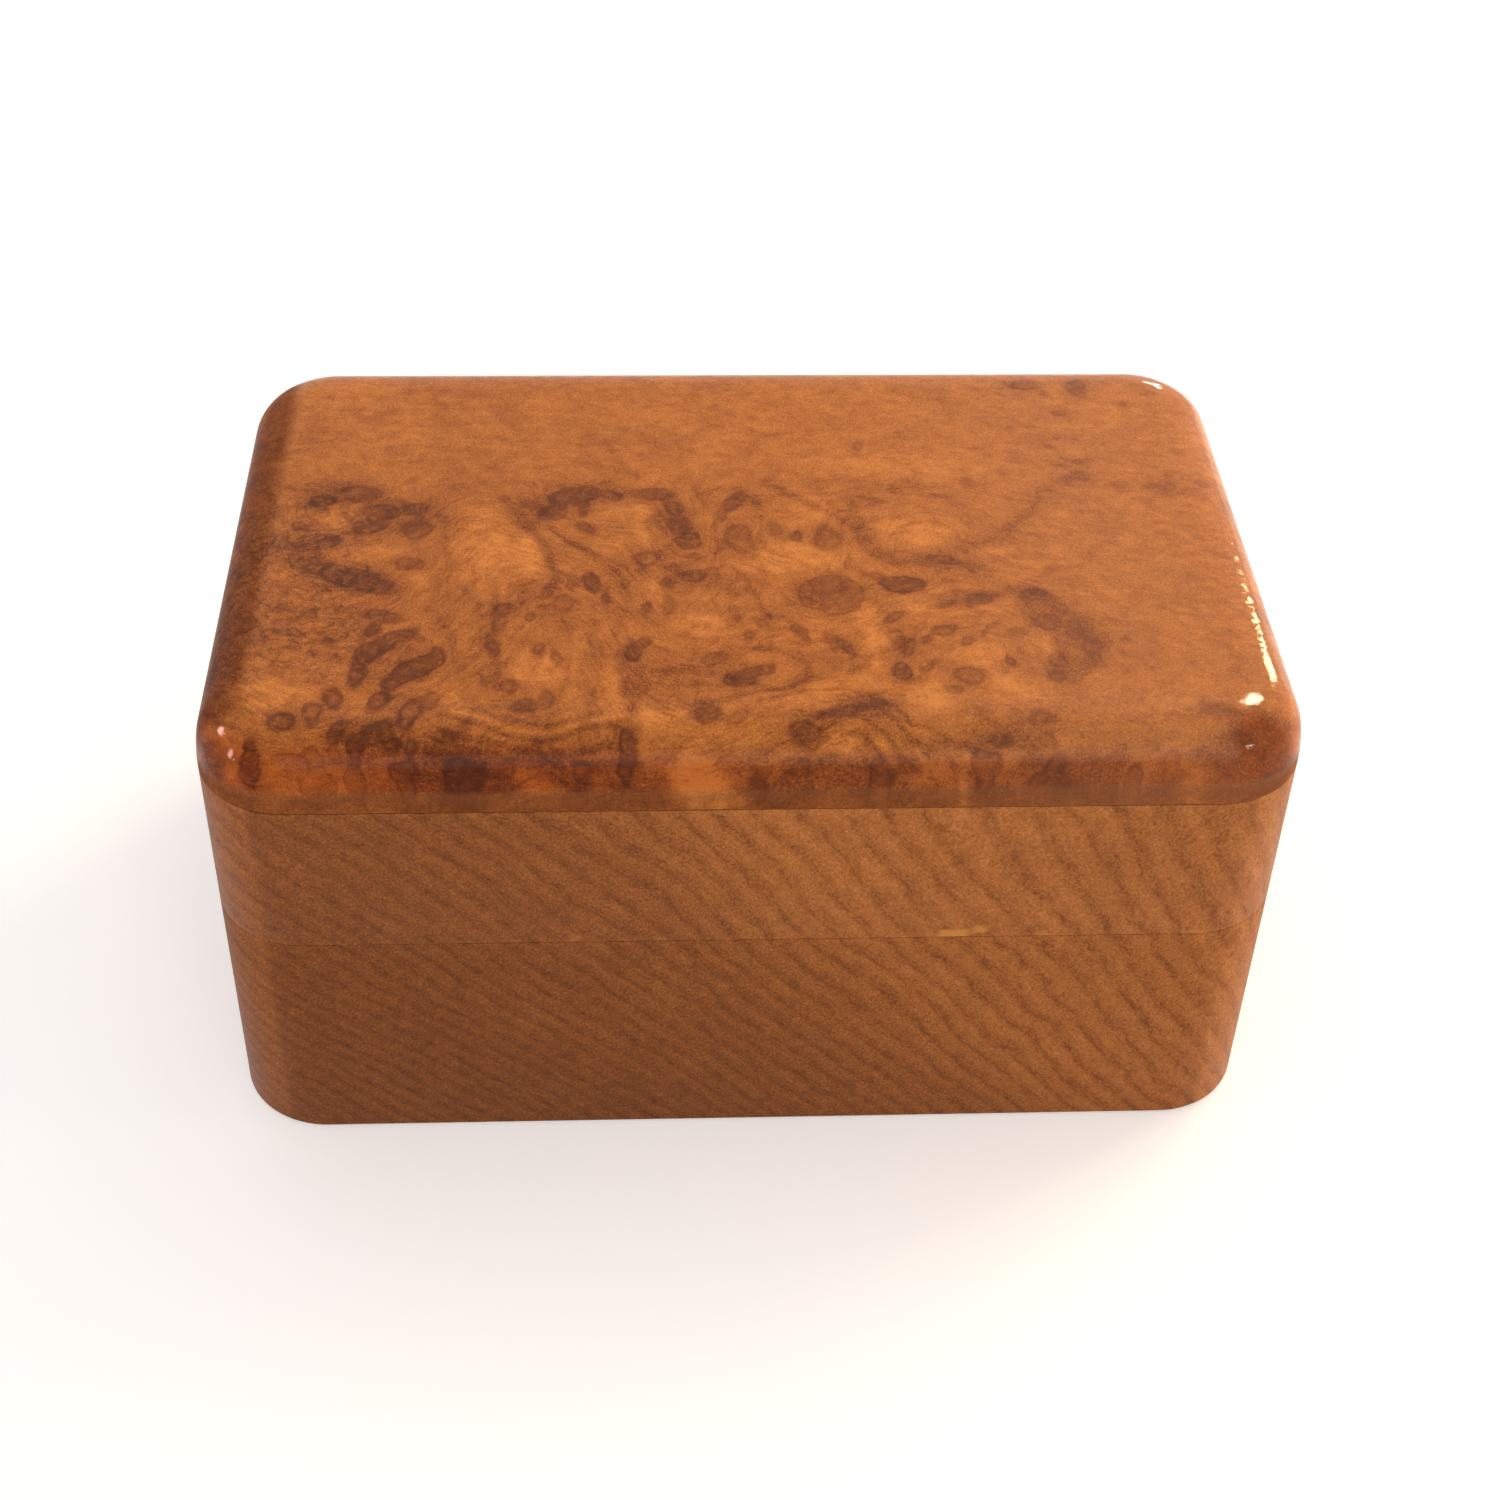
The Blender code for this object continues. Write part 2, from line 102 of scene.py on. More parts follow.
# Burl figure, read off the box in millimetres.
# Eyes, then eyes with a paler heart: x, y, half length, half width, turn in degrees, depth of colour.
EYES = (
    (-40.7, 4.8, 1.2, 1.1, 0, 0.85), (-37, 6, 1.9, 1.2, 0, 0.35), (-34.9, 2.7, 1.9, 1.4, -10, 0.65),
    (-35.9, 0.5, 1.8, 1.3, 20, 0.6), (-31.8, 3.4, 1.5, 1, 10, 0.4), (-31.3, 0, 1.4, 1.8, 0, 0.4),
    (-39.9, -2, 1.8, 1.2, 15, 0.45), (-42.2, -2.9, 1.1, 0.7, -10, 0.45), (-42.6, 0.6, 1, 0.6, -30, 0.35),
    (-36.8, -7.7, 4.5, 1.5, -27, 0.62), (-40.6, -6.2, 1.6, 0.8, -25, 0.45), (-41.4, -4.8, 1.1, 0.6, 10, 0.4),
    (-31.8, -5.6, 1.4, 1.1, 0, 0.6), (-41.3, -16, 0.8, 0.5, -20, 0.4), (-39.4, -18.9, 0.5, 0.4, 0, 0.5),
    (-38.3, -17, 0.9, 0.4, 0, 0.35), (-43.4, -12.5, 0.8, 0.4, 0, 0.35), (-40.8, -13.6, 1, 0.4, 10, 0.35),
    (-33.6, -13.7, 1.7, 0.8, -12, 0.8), (-34.5, -15.5, 0.6, 1.1, -10, 0.9), (-32.2, -16.6, 1.9, 0.85, 20, 1),
    (-34, -18.5, 2.5, 1.2, 52, 1.05), (-35.2, -21.8, 0.75, 2.3, 3, 1.1), (-29.9, -17, 0.45, 0.45, 0, 0.5),
    (-28.5, -19.7, 0.8, 1.5, -15, 0.95), (-30.2, -21.3, 3.2, 1.3, 45, 1.1), (-32.3, -23.2, 0.8, 0.8, 0, 0.95),
    (-33, -25.4, 1.4, 0.75, 68, 1.1), (-28.6, -25.6, 0.6, 1.2, -10, 0.5), (-36.5, -28.7, 1.2, 0.65, 60, 1),
    (-33.2, -28.7, 1.5, 0.9, 20, 0.95), (-34.9, -29.8, 0.9, 0.9, 0, 1.05), (-31.9, -29.6, 0.9, 0.6, 0, 1),
    (-30.1, -29.9, 0.6, 0.55, 0, 0.7), (-27.2, -29.1, 1.1, 0.5, 10, 0.5), (-38.8, -30.4, 0.55, 0.6, 0, 0.65),
    (-44, -30.5, 1, 1.4, 0, 1.3), (-47.3, -29.1, 0.7, 1, 30, 0.6), (-34.7, -31.2, 0.8, 0.8, 0, 0.6),
    (-30.7, -31.4, 1.2, 0.9, 0, 1.1), (-26, -31.3, 2.4, 1.1, 0, 1.2), (-22.3, -31.6, 1.5, 0.8, 0, 0.6),
    (-15.3, -31.4, 1.3, 0.8, 0, 0.55), (-11.3, -30.4, 0.9, 1.5, 0, 0.85), (-22.7, -12.7, 1.15, 0.8, 30, 0.65),
    (-22.9, -14.6, 0.6, 1.3, 0, 0.35), (-21.3, -11.6, 0.7, 0.35, 30, 0.5), (-20.3, -13.9, 0.65, 0.65, 0, 0.6),
    (-23.3, -18.4, 0.7, 1.2, 0, 0.4), (-21.6, -23.7, 0.8, 0.85, 0, 0.65), (-20.4, -26.4, 1.2, 0.8, -10, 0.85),
    (-18.4, -25.6, 0.6, 1.1, 0, 0.5), (-18.4, 2.6, 1.3, 1.2, 0, 0.5), (-16.3, 5.4, 2.6, 1.5, 15, 0.45),
    (-15.4, 3.2, 0.5, 1.3, 0, 0.65), (-15.1, 0, 1.2, 0.45, -50, 0.75), (-12.8, 5.6, 1.3, 0.8, -25, 0.45),
    (-15.4, -3.4, 1.6, 0.45, -42, 0.4), (-14.7, -8.9, 0.8, 1.55, 12, 0.9), (-13.2, -10.8, 0.4, 1.1, 3, 0.75),
    (-16.3, -8.5, 0.5, 1.2, 0, 0.35), (-8.4, 5.6, 1.8, 1.1, -15, 0.55), (-6.7, 3.2, 0.9, 1.2, 20, 0.45),
    (-6.3, 0.4, 1.1, 1.5, 14, 0.45), (-5.5, -2.2, 1.2, 1.4, 8, 0.7), (-5.2, -4.6, 0.6, 0.5, 0, 0.5),
    (-0.9, 4.3, 1.7, 0.9, 55, 0.7), (-2.2, 2.2, 0.6, 1, 5, 0.55), (0.2, -3.4, 0.7, 1, 10, 0.45),
    (3, -0.4, 0.6, 1.2, 12, 0.45), (4.8, -1.6, 0.55, 0.75, 0, 0.6), (7.8, -1.2, 0.6, 0.5, 0, 0.6),
    (-7.6, -8.7, 0.6, 0.8, 0, 0.6), (-5.1, -7.7, 1.3, 0.9, 10, 0.6), (-9.5, -12.9, 0.4, 1, -10, 0.6),
    (-7.4, -12.4, 0.7, 1.6, -5, 0.4), (-1.3, -13.4, 0.4, 1.1, 0, 0.4), (0.9, -15, 0.6, 0.6, 0, 0.3),
    (4.2, -16, 0.45, 1.5, 25, 0.8), (-0.3, -16.9, 0.6, 0.9, 0, 0.5), (0.9, -18.7, 1, 0.4, -5, 0.45),
    (-3.5, -20.2, 1.4, 0.9, 25, 0.45), (-10, -17.8, 1.2, 0.7, 40, 0.7), (-10.9, -19.3, 0.9, 1.1, 0, 0.8),
    (-19.2, -18.6, 0.5, 0.95, -5, 0.6), (-17.7, -19.8, 0.5, 0.95, 5, 0.6), (0.3, -21.8, 1.4, 0.7, 15, 1.2),
    (-1.4, -23.1, 1.5, 1.1, 15, 1.1), (4, -23, 1.3, 0.5, 20, 0.45), (-4.4, -27.6, 1.3, 0.9, 15, 0.8),
    (-1.7, -27.9, 1.1, 0.5, 35, 0.4), (14.4, -9.3, 2, 1.3, -5, 1.3), (12.2, -8.2, 1.2, 0.5, -20, 0.5),
    (18.4, -5.3, 1.7, 0.7, -22, 0.55), (12.8, 4.4, 1.1, 0.3, -20, 0.4), (19.4, 5, 0.8, 0.3, -20, 0.35),
    (22.2, 7.7, 0.5, 0.4, 0, 0.35), (28.5, -7.2, 0.8, 0.4, 30, 0.35), (21.4, -11.6, 1.6, 0.8, 15, 0.55),
    (18.2, -12.4, 1, 0.35, 10, 0.45), (26.5, -11, 1.4, 0.8, 0, 0.6), (13, -14.4, 1.4, 0.6, 45, 0.8),
    (17.5, -16.2, 1.15, 0.75, 15, 0.8), (16.1, -17.7, 0.7, 0.4, 50, 0.6), (14.3, -18.6, 0.55, 1.5, -20, 0.65),
    (19.6, -17.7, 0.8, 0.5, 60, 0.65), (21.9, -15.8, 1.4, 0.35, 45, 0.4), (24.3, -16.8, 0.9, 0.8, 0, 0.55),
    (27.2, -15.2, 1.4, 1.2, 0, 0.5), (29.6, -16.4, 1, 1.3, 25, 0.22), (30.8, -19, 0.9, 1.9, 0, 0.2),
    (26.8, -23, 0.9, 0.8, 20, 0.6), (27.4, -20.9, 0.8, 1.1, 0, 0.5), (23.1, -20.8, 0.45, 0.8, 0, 0.85),
    (15.8, -21.3, 1.2, 0.45, 40, 0.45), (13.2, -22.3, 0.9, 1.25, 0, 1.4), (17.6, -24.9, 0.7, 0.55, 0, 0.5),
    (7.7, -10.8, 3.2, 3.1, 10, 0.42), (8.3, -18.6, 0.6, 1.8, 25, 0.55), (6.9, -17.3, 0.5, 0.9, 20, 0.4),
    (7.9, -27.2, 2.2, 0.55, 8, 0.65), (10.7, -26.2, 0.9, 0.8, -40, 0.6), (4.2, -29.2, 1.5, 1, 0, 0.5),
    (21, -29.9, 1.5, 0.6, 5, 0.8), (25, -28, 1, 0.7, 0, 0.45), (25.2, -29.8, 0.7, 0.5, 0, 0.5),
    (-0.3, -31.6, 1.5, 0.8, 0, 0.5), (3.8, -31.2, 1.2, 0.7, 0, 0.45), (10.3, -31.6, 2.4, 0.9, 0, 0.85),
    (19.9, -31.3, 1.3, 1, 0, 1), (27.2, -31.6, 3.4, 0.9, 0, 0.85), (33.3, -31.7, 0.9, 0.8, 0, 0.8),
    (35.8, -31.6, 1.8, 0.8, 0, 0.6), (41.3, -27.2, 1.6, 0.4, -10, 0.4), (30.2, 25.2, 1.3, 1, 0, 0.45),
    (35.6, 24.8, 1, 1.4, 0, 0.45), (40.3, 21.6, 0.6, 0.5, 0, 0.5), (33, 20, 0.9, 0.5, 0, 0.4),
    (31.2, 13.7, 0.7, 0.4, -30, 0.45), (11.9, 13.9, 0.6, 0.9, -15, 0.45), (3.6, 16.1, 0.7, 0.3, 0, 0.4),
    (33.6, 10.9, 0.6, 0.5, 0, 0.35), (41.9, 6.5, 1, 0.8, 0, 0.35), (37.4, 7, 1, 0.6, 0, 0.3),
    (45.8, 7.6, 0.8, 0.6, 0, 0.4), (45.2, -4.6, 0.8, 0.4, -20, 0.4), (40, 0.3, 0.6, 0.4, 0, 0.35),
    (41, -31.6, 1.2, 0.8, 0, 0.5), (45.6, -30.9, 1.1, 0.7, 35, 0.6), (42.4, -30, 1, 0.6, 0, 0.55),
    (-38, -31.6, 1.4, 0.8, 0, 0.45),
)
RING_EYES = (
    (-37.2, -25.2, 0.8, 1.25, 12, 0.85), (-38.7, -26.9, 0.85, 1.25, -8, 0.8), (-41.3, -27.7, 1.15, 0.9, 0, 1),
    (-30.3, -27, 1.7, 1.1, 62, 1.05), (-43.6, -16.2, 1.1, 0.8, 0, 0.45), (-9.5, -5, 1.15, 1.1, 0, 0.4),
    (-0.6, -1.8, 1.3, 2.3, 5, 0.4), (7.8, -1.9, 1.2, 2.1, 0, 0.35), (13.1, -17.4, 0.8, 1.5, 0, 0.45),
    (19.1, -22.9, 1.3, 1.2, 0, 0.4), (-17.2, -11.8, 1, 1.5, 0, 0.3),
)
# Clouds of darker (below zero) or brighter wood: x, y, half length, half width, turn, strength.
CLOUDS = (
    (-17.2, 5.4, 3.6, 2.2, 25, -0.36), (-13, 6, 2.6, 1.8, -35, -0.28), (-20.4, 2.6, 1.8, 3.2, -25, -0.4),
    (-9.5, 5.6, 2.2, 1.3, 0, -0.24), (-6.8, 1, 2, 4.4, 15, -0.44), (-33.2, 2, 4.2, 3.4, 10, -0.42),
    (-38.2, 6, 3.6, 1.8, -15, -0.4), (-41, 5.2, 2.6, 2.4, 0, -0.45), (-41.2, -2.6, 4.6, 2.2, 0, -0.5),
    (-36.8, -8, 5.2, 1.9, -15, -0.4), (-40.5, -13.5, 5, 5.5, 0, -0.22), (-34, -18.2, 3, 4.6, 25, -0.2),
    (-34.9, -22, 1.6, 3, 0, -0.15), (-30.2, -21.5, 3.4, 3.4, 35, -0.2), (-31, -26.6, 3.4, 2.6, 20, -0.15),
    (-38, -26.8, 4.4, 2, 0, -0.1), (-33.4, -29.5, 3, 1.6, 0, -0.45), (-26.5, -30.9, 3.2, 1.6, 0, -0.55),
    (-17.9, -11, 3.2, 3.4, 0, -0.22), (-9, -5.2, 2.6, 2.4, 0, -0.35), (-10.8, -22.6, 1.1, 3.6, 0, -0.4),
    (-6, -23.6, 4.4, 3.4, 0, -0.28), (-5.6, -8.2, 2.8, 1.9, 0, -0.3), (-0.9, -2, 1.6, 2.8, 0, -0.28),
    (0.4, 5.4, 1.8, 2.4, -30, -0.25), (-1.2, -9.2, 2.6, 1.8, -20, -0.22), (6.8, -10.9, 3.4, 2.7, 10, -0.3),
    (7.9, -1, 1.5, 2, 0, -0.25), (22, -8, 3, 1.6, -35, -0.18), (20.6, -11.9, 2, 1.3, 15, -0.35),
    (26.8, -13.2, 2.2, 3.2, 0, -0.45), (29.8, -18.2, 2.4, 3.2, 0, -0.55), (27.4, -21.8, 1.6, 2.2, 0, -0.35),
    (33.5, -20, 3.6, 3.4, 0, -0.16), (14, -18, 1.8, 2.8, -25, -0.3), (8.2, -18.6, 1.2, 2.8, 30, -0.25),
    (5, -20.4, 2.2, 2, 0, -0.18), (19, -23.2, 1.9, 2.2, 0, -0.22), (9.6, -26.6, 2.6, 1.4, -10, -0.4),
    (5.2, -28.6, 2.6, 1.6, 0, -0.4), (21, -29.4, 2.6, 1.3, 0, -0.55), (26, -28.6, 3.4, 1.6, 0, -0.3),
    (-12, -29.8, 1.4, 2, 0, -0.4), (3, -31.4, 3.6, 0.9, 0, -0.5), (12, -31.6, 5, 0.7, 0, -0.35),
    (26, -31.5, 6.5, 0.7, 0, -0.45), (-13.5, -31.7, 4.6, 0.5, 0, -0.35), (-22, -31.5, 5, 0.7, 0, -0.2),
    (30.2, 25, 2.4, 2, 0, -0.35), (35.8, 24.6, 1.8, 2.4, 0, -0.35), (33.2, 19.8, 2.4, 1.6, 0, -0.2),
    (17, 16, 6, 1.6, -12, -0.14), (34, 10, 3.4, 2.2, 0, -0.2), (16.4, 6, 3, 1.6, -15, -0.22),
    (41.6, 7, 2.6, 2, 0, -0.22), (-26, 11, 6, 1.2, -8, -0.1), (-12, 12.4, 4, 2.4, 0, -0.14),
    (-23.6, -3.2, 3.4, 5.2, 0, 0.42), (-20.4, -5, 1.2, 3, 10, 0.4), (-36.6, -3.6, 3.4, 1.2, 5, 0.32),
    (-38.6, 3, 1.4, 1.8, -30, 0.28), (-42.6, -24.4, 3.6, 1.6, -5, 0.45), (-31, -9, 2.4, 2.4, 0, 0.12),
    (-27, -24, 1.6, 4, 0, 0.12), (-18.6, -21.6, 2.6, 1.8, 0, 0.35), (-12.8, -24.4, 1.2, 3.2, 0, 0.25),
    (-10.6, 2.6, 2.4, 1.4, 0, 0.25), (-13.4, -3, 2.6, 2, 0, 0.1), (-4.4, -15.2, 2.2, 1.6, -30, 0.4),
    (4.6, -4.6, 3.6, 2, -10, 0.5), (1.4, -6.2, 2.2, 1, 0, 0.3), (11.3, -15.4, 1.1, 3, 14, 0.34),
    (15.4, -12.2, 2, 0.9, 0, 0.4), (15.6, -25.6, 2, 1.6, 0, 0.55), (20.4, -19.8, 2.6, 1.6, 10, 0.42),
    (27, -18.6, 0.6, 1.6, 0, 0.5), (23, -24.6, 3, 1.4, 0, 0.3), (7.6, -24.6, 3.2, 1.2, 10, 0.3),
    (-9, -28, 1.4, 1, 0, 0.45), (2.4, -26, 2.4, 1, 25, 0.25), (7, -29.6, 1.6, 0.8, 0, 0.45),
    (-5, -31.4, 2.6, 0.9, 0, 0.55), (18.2, -31.7, 0.5, 0.3, 0, 0.7), (16.8, -1, 4.2, 2.6, 0, 0.3),
    (14.6, 0, 1.6, 1, 0, 0.25), (24.2, -3.9, 2.4, 0.7, 10, 0.28), (17, 10.6, 7, 2, -5, 0.18),
    (6.6, 3.2, 1.6, 2.6, 20, 0.25), (-40, 24, 6, 4, 0, 0.12), (36.5, -26.8, 2.4, 0.8, 0, 0.3),
    (44.6, -29.4, 3.4, 2.2, 15, -0.9), (40.6, -27.6, 2.6, 0.5, -8, -0.35),
)
# Strands of darker wood that wind between the eyes: strength, half width, then points along the strand.
STRANDS = (
    (-0.6, 0.55, (-23.4, 5.2), (-21.3, 1.1), (-19.3, -2.3), (-18.2, -5.2), (-17.8, -7.7), (-18.8, -10.6)),
    (-0.5, 0.4, (-18.8, 0.3), (-16.3, -2.7), (-14.3, -4.8), (-12.6, -6.4), (-11.4, -9)),
    (-0.3, 0.5, (-11.4, -9), (-11.3, -12.7), (-12.4, -16), (-12, -21), (-11.4, -26.8)),
    (-0.3, 0.55, (-28.6, 1.5), (-28.4, -3.5), (-27.6, -7.7), (-25.5, -10.6), (-24.7, -14.3), (-24.2, -18)),
    (-0.3, 0.45, (-24.7, -21.8), (-23.6, -25.2), (-21, -27.7)),
    (-0.28, 0.45, (-29.7, -12.7), (-27.2, -16.8), (-26.3, -21), (-25.5, -25.6), (-22.2, -28.1)),
    (-0.5, 0.26, (-27.8, -27.3), (-25, -28), (-22.5, -29), (-19.7, -29.7), (-17, -29.4), (-12.2, -28.2)),
    (0.35, 0.24, (-26.6, -26.9), (-22.6, -28.3), (-19.6, -29), (-16.6, -28.8), (-12.4, -27.6), (-6.3, -27.3)),
    (-0.35, 0.22, (-25.6, -26.6), (-22.2, -27.6), (-18.8, -28.3), (-16, -28), (-13.4, -27)),
    (-0.7, 0.18, (-26.2, -29.7), (-23.4, -30.5), (-20.7, -30.9), (-15.2, -30.9), (-10.1, -31)),
    (-0.55, 0.26, (-27, -28.7), (-24.2, -29.4), (-21.4, -30.1), (-18.7, -30.5), (-15.9, -30.4),
     (-13.2, -29.9)),
    (-0.45, 0.6, (-23.4, -11), (-23.5, -16), (-23, -20.2), (-22.8, -24.3)),
    (-0.25, 0.35, (-14.3, -11.8), (-14.6, -16.8), (-14, -21.8), (-14.7, -26)),
    (-0.25, 0.35, (-17.2, -14), (-16.6, -17.7), (-16.8, -22.7), (-17.6, -26.4)),
    (-0.3, 0.4, (-4.8, 6.5), (-3.5, 4), (-2.9, 0.7), (-2.6, -3.5), (-3.6, -6.6)),
    (-0.3, 0.35, (1.3, 5.2), (1.7, 0.7), (1.5, -3.5), (0.3, -5.8)),
    (-0.4, 0.45, (2.3, 7.8), (4.8, 5.2), (8.2, 2.4), (10.6, 0.2), (11.3, -3), (13.4, -6.2)),
    (-0.42, 1, (10.3, 5.7), (10.6, 3.4), (11.2, -0.2), (11.8, -2.3), (13.3, -5.2), (16.9, -5.9),
     (21.9, -6.2)),
    (-0.36, 1.2, (16.2, -4.5), (20.5, -3.5), (24, -2.1), (26, 0.4), (28.1, 3.3), (30.2, 6.2), (33.5, 8.1)),
    (-0.35, 0.3, (-3.9, -6.8), (-1.8, -6), (-0.2, -8.5), (0.7, -11.8), (1.9, -14.6)),
    (-0.4, 0.7, (15.7, -11.8), (19.8, -11), (23.2, -10.6), (25.7, -10.2), (28.2, -11.8), (30.3, -14.8)),
    (-0.55, 0.9, (30.3, -14.8), (31.3, -18), (30.5, -21), (28.4, -23.6)),
    (-0.6, 0.3, (3.5, -29.8), (4.8, -27.8), (7.2, -26.9), (10.3, -26.6), (12, -28.3), (13.7, -29.9),
     (15.7, -31)),
    (-0.6, 0.22, (1.5, -25.6), (4.8, -24.6), (8.2, -24.8), (11.2, -26.2), (13.6, -28.3), (16.4, -29.5),
     (19, -30.4)),
    (-0.7, 0.22, (5.4, -29), (7, -28), (9, -27.9), (10.7, -29.3), (12.4, -30.5), (14.1, -31.2)),
    (-0.65, 0.2, (7.2, -29.6), (8.6, -29.3), (9.9, -30.2), (11.2, -31.1)),
    (-0.3, 0.3, (-5.2, -26.4), (-1, -25.2), (2.3, -24.5), (6, -22.9)),
    (-0.3, 0.25, (-7.6, -21.4), (-3.2, -22.4), (1.6, -24.6), (4.4, -23.4), (4.9, -21), (2.4, -19.4),
     (-2.4, -18.4)),
    (-0.22, 1.1, (20, 23), (25, 18.8), (31.5, 15.4), (38, 14.2)),
    (-0.18, 0.8, (24, 13), (30, 10.4), (34, 10.8)),
    (0.3, 0.6, (-10.2, 3.4), (-9.9, -1.6), (-8.6, -6.8), (-9, -10.6)),
    (0.22, 0.5, (9.6, -13.6), (11, -15.6), (10.9, -21.4), (9.4, -23.6)),
    (0.3, 0.4, (14.6, -12.6), (18.4, -13.9), (21.5, -13), (24.6, -13.4)),
)
# Hills in the growth rings, which the fine lines run round: x, y, half length, half width, turn, height.
HILLS = (
    (-40, -13, 9, 15, 0, 14), (-37, 2.5, 6.5, 4.5, 0, 6), (-24, -3, 4.4, 7.2, 6, -8),
    (-17.5, -16, 5, 12.5, 2, -13), (-14.5, 2.5, 6, 5, 15, 7), (-6.2, -12, 4.6, 13, 3, 10),
    (-5.8, 1, 2.6, 5.5, 10, 6), (-0.8, 1, 2.2, 6, 0, -6), (4.2, -4.5, 4.6, 3.4, -10, 5),
    (7.7, -10.8, 4, 3.8, 10, 6), (20.5, -17, 9.5, 8, -15, -12), (17.5, 1.5, 7.5, 6.5, 0, -8),
    (7, -30.5, 6.5, 4.4, 0, -8), (14.4, -9.3, 3, 2.2, 0, 3.5), (-30.5, -21.5, 4, 4, 40, 4),
    (-34.4, -20, 1.8, 4.4, 10, 3), (-0.6, -22.6, 3.2, 2.2, 15, 4), (-20, -25.4, 2.4, 2.4, 0, 3),
    (27.4, -17.8, 3.6, 4.2, 0, 4), (-14.6, -9.2, 1.6, 2.6, 10, 3), (34, 24, 5, 3, 0, 2.5),
    (-14, -30.6, 6, 2, 0, 3), (-40, -27, 4.5, 2.4, 0, 3), (-26.5, -29.5, 3, 2.4, 0, 2.5),
)

# Pale chips beside the saw cut in front: x, low and high level, half length, strength.
CHIPS = ((18.6, 25.4, 26.6, 1.7, 0.85), (21.1, 25.9, 27.1, 1.0, 0.75), (41.2, 25.3, 26.1, 1.4, 0.3),
         (27.0, 25.3, 26.0, 1.1, 0.45), (-16.5, 25.5, 26.5, 0.9, 0.22), (-8.5, 25.4, 26.2, 0.9, 0.18))

# Screen colours out of 255, from the darkest to the palest part of each wood and of the brass
BURL_TINTS = ((0.0, (94, 49, 24)), (0.15, (108, 58, 29)), (0.32, (130, 71, 36)), (0.46, (150, 84, 40)),
              (0.58, (168, 98, 46)), (0.7, (185, 110, 52)), (0.82, (199, 121, 57)), (1.0, (218, 137, 68)))
BODY_TINTS = ((0.0, (84, 46, 25)), (0.25, (113, 65, 36)), (0.45, (138, 82, 43)), (0.6, (160, 97, 50)),
              (0.8, (184, 115, 62)), (1.0, (206, 137, 81)))
BRASS_TINTS = ((0.0, (118, 84, 38)), (0.35, (176, 134, 68)), (0.65, (206, 166, 92)), (1.0, (226, 190, 118)))
# Other colours in the woods: pale chips, a painted sheen, the bare strip, and pooled varnish with painted
# shade
CHIP_TINT, PAINTED_SHEEN_TINT = (204, 138, 68), (198, 140, 108)
STRIP_TINT, STAIN_AND_SHADE_TINT = (134, 80, 47), (224, 194, 164)

# The photograph's view, from a little left of the middle
CAMERA_PLACE = (-0.01048, -0.18732, 0.18315)
CAMERA_TURNS = (3.555, 40.791, 1.75)  # yaw, pitch and roll in degrees

# Lamps, which look at a point in the box: name, bearing (0 in front, 90 at the right), height, distance,
# sides, radiance, colour. Soft ones only light the surface, shine ones are only mirrored in it.
LAMP_TARGET = Vector((0, 0, 0.03))
LAMPS = (
    ("overhead", 185, 68, 0.8, (0.6, 0.5), 0.92, (255, 250, 244), 'both'),
    ("side_window", 98, 16, 0.7, (0.5, 0.3), 2.9, (255, 212, 160), 'soft'),
    ("window_sheen", 98, 16, 0.7, (0.5, 0.3), 0.9, (255, 212, 160), 'shine'),
    ("back_right", 128, 33, 0.6, (0.3, 0.3), 6.7, (255, 232, 190), 'soft'),
    ("left", 278, 15, 0.6, (0.24, 0.24), 3.3, (255, 216, 204), 'soft'),
    ("front_fill", 8, 22, 0.9, (0.7, 0.4), 2.4, (255, 243, 230), 'both'),
    ("far_window", 134.8, 13.3, 0.6, (0.03, 0.12), 62.0, (255, 224, 160), 'shine'),
    ("high_glint", 130, 47, 0.6, (0.1, 0.13), 130.0, (255, 240, 200), 'shine'),
    ("back_glint", 158, 13, 0.6, (0.05, 0.05), 40.0, (255, 250, 240), 'shine'),
    ("right_glint", 45, 25, 0.6, (0.07, 0.05), 110.0, (255, 230, 205), 'shine'),
    ("left_glint", 265, 20, 0.6, (0.08, 0.1), 70.0, (255, 205, 195), 'shine'),
    ("low_left_glint", 292, 9, 0.6, (0.07, 0.09), 70.0, (255, 200, 190), 'shine'),
)


def linear(tint):
    """A screen colour out of 255 as light."""
    return Color([channel / 255 for channel in tint]).from_srgb_to_scene_linear()


def opaque(tint):
    return (*linear(tint), 1.0)


def choose(piece=None):
    """Select one piece, or nothing."""
    if bpy.context.mode != 'OBJECT':
        bpy.ops.object.mode_set(mode='OBJECT')
    bpy.ops.object.select_all(action='DESELECT')
    if piece:
        bpy.context.view_layer.objects.active = piece
        piece.select_set(True)


def settle(name):
    """Name the object just added, and put its place and turn into its mesh."""
    piece = bpy.context.active_object
    piece.name = piece.data.name = name
    bpy.ops.object.transform_apply(location=True, rotation=True, scale=True)
    return piece


def start_block(name, low, high):
    choose()
    low, high = Vector(low), Vector(high)
    bpy.ops.mesh.primitive_cube_add(size=1, location=(low + high) / 2, scale=high - low)
    return settle(name)


def start_rod(name, centre, radius, length):
    """A round bar along X."""
    choose()
    bpy.ops.mesh.primitive_cylinder_add(
        vertices=BARREL_STEPS, radius=radius, depth=length, location=centre, rotation=(0, math.pi / 2, 0))
    return settle(name)


def open_piece(piece, kind='EDGE'):
    """Take a piece into edit mode."""
    choose(piece)
    bpy.ops.object.mode_set(mode='EDIT')
    bpy.ops.mesh.select_mode(type=kind)


def pick(piece, kind, test):
    """In edit mode, select only the vertices, edges or faces that pass a test."""
    bpy.ops.mesh.select_all(action='DESELECT')
    bm = bmesh.from_edit_mesh(piece.data)
    chosen = [item for item in getattr(bm, kind) if test(item)]
    for item in chosen:
        item.select_set(True)
    bmesh.update_edit_mesh(piece.data)
    if not chosen:
        raise RuntimeError(f"nothing to shape on {piece.name}")


def close_piece():
    bpy.ops.object.mode_set(mode='OBJECT')


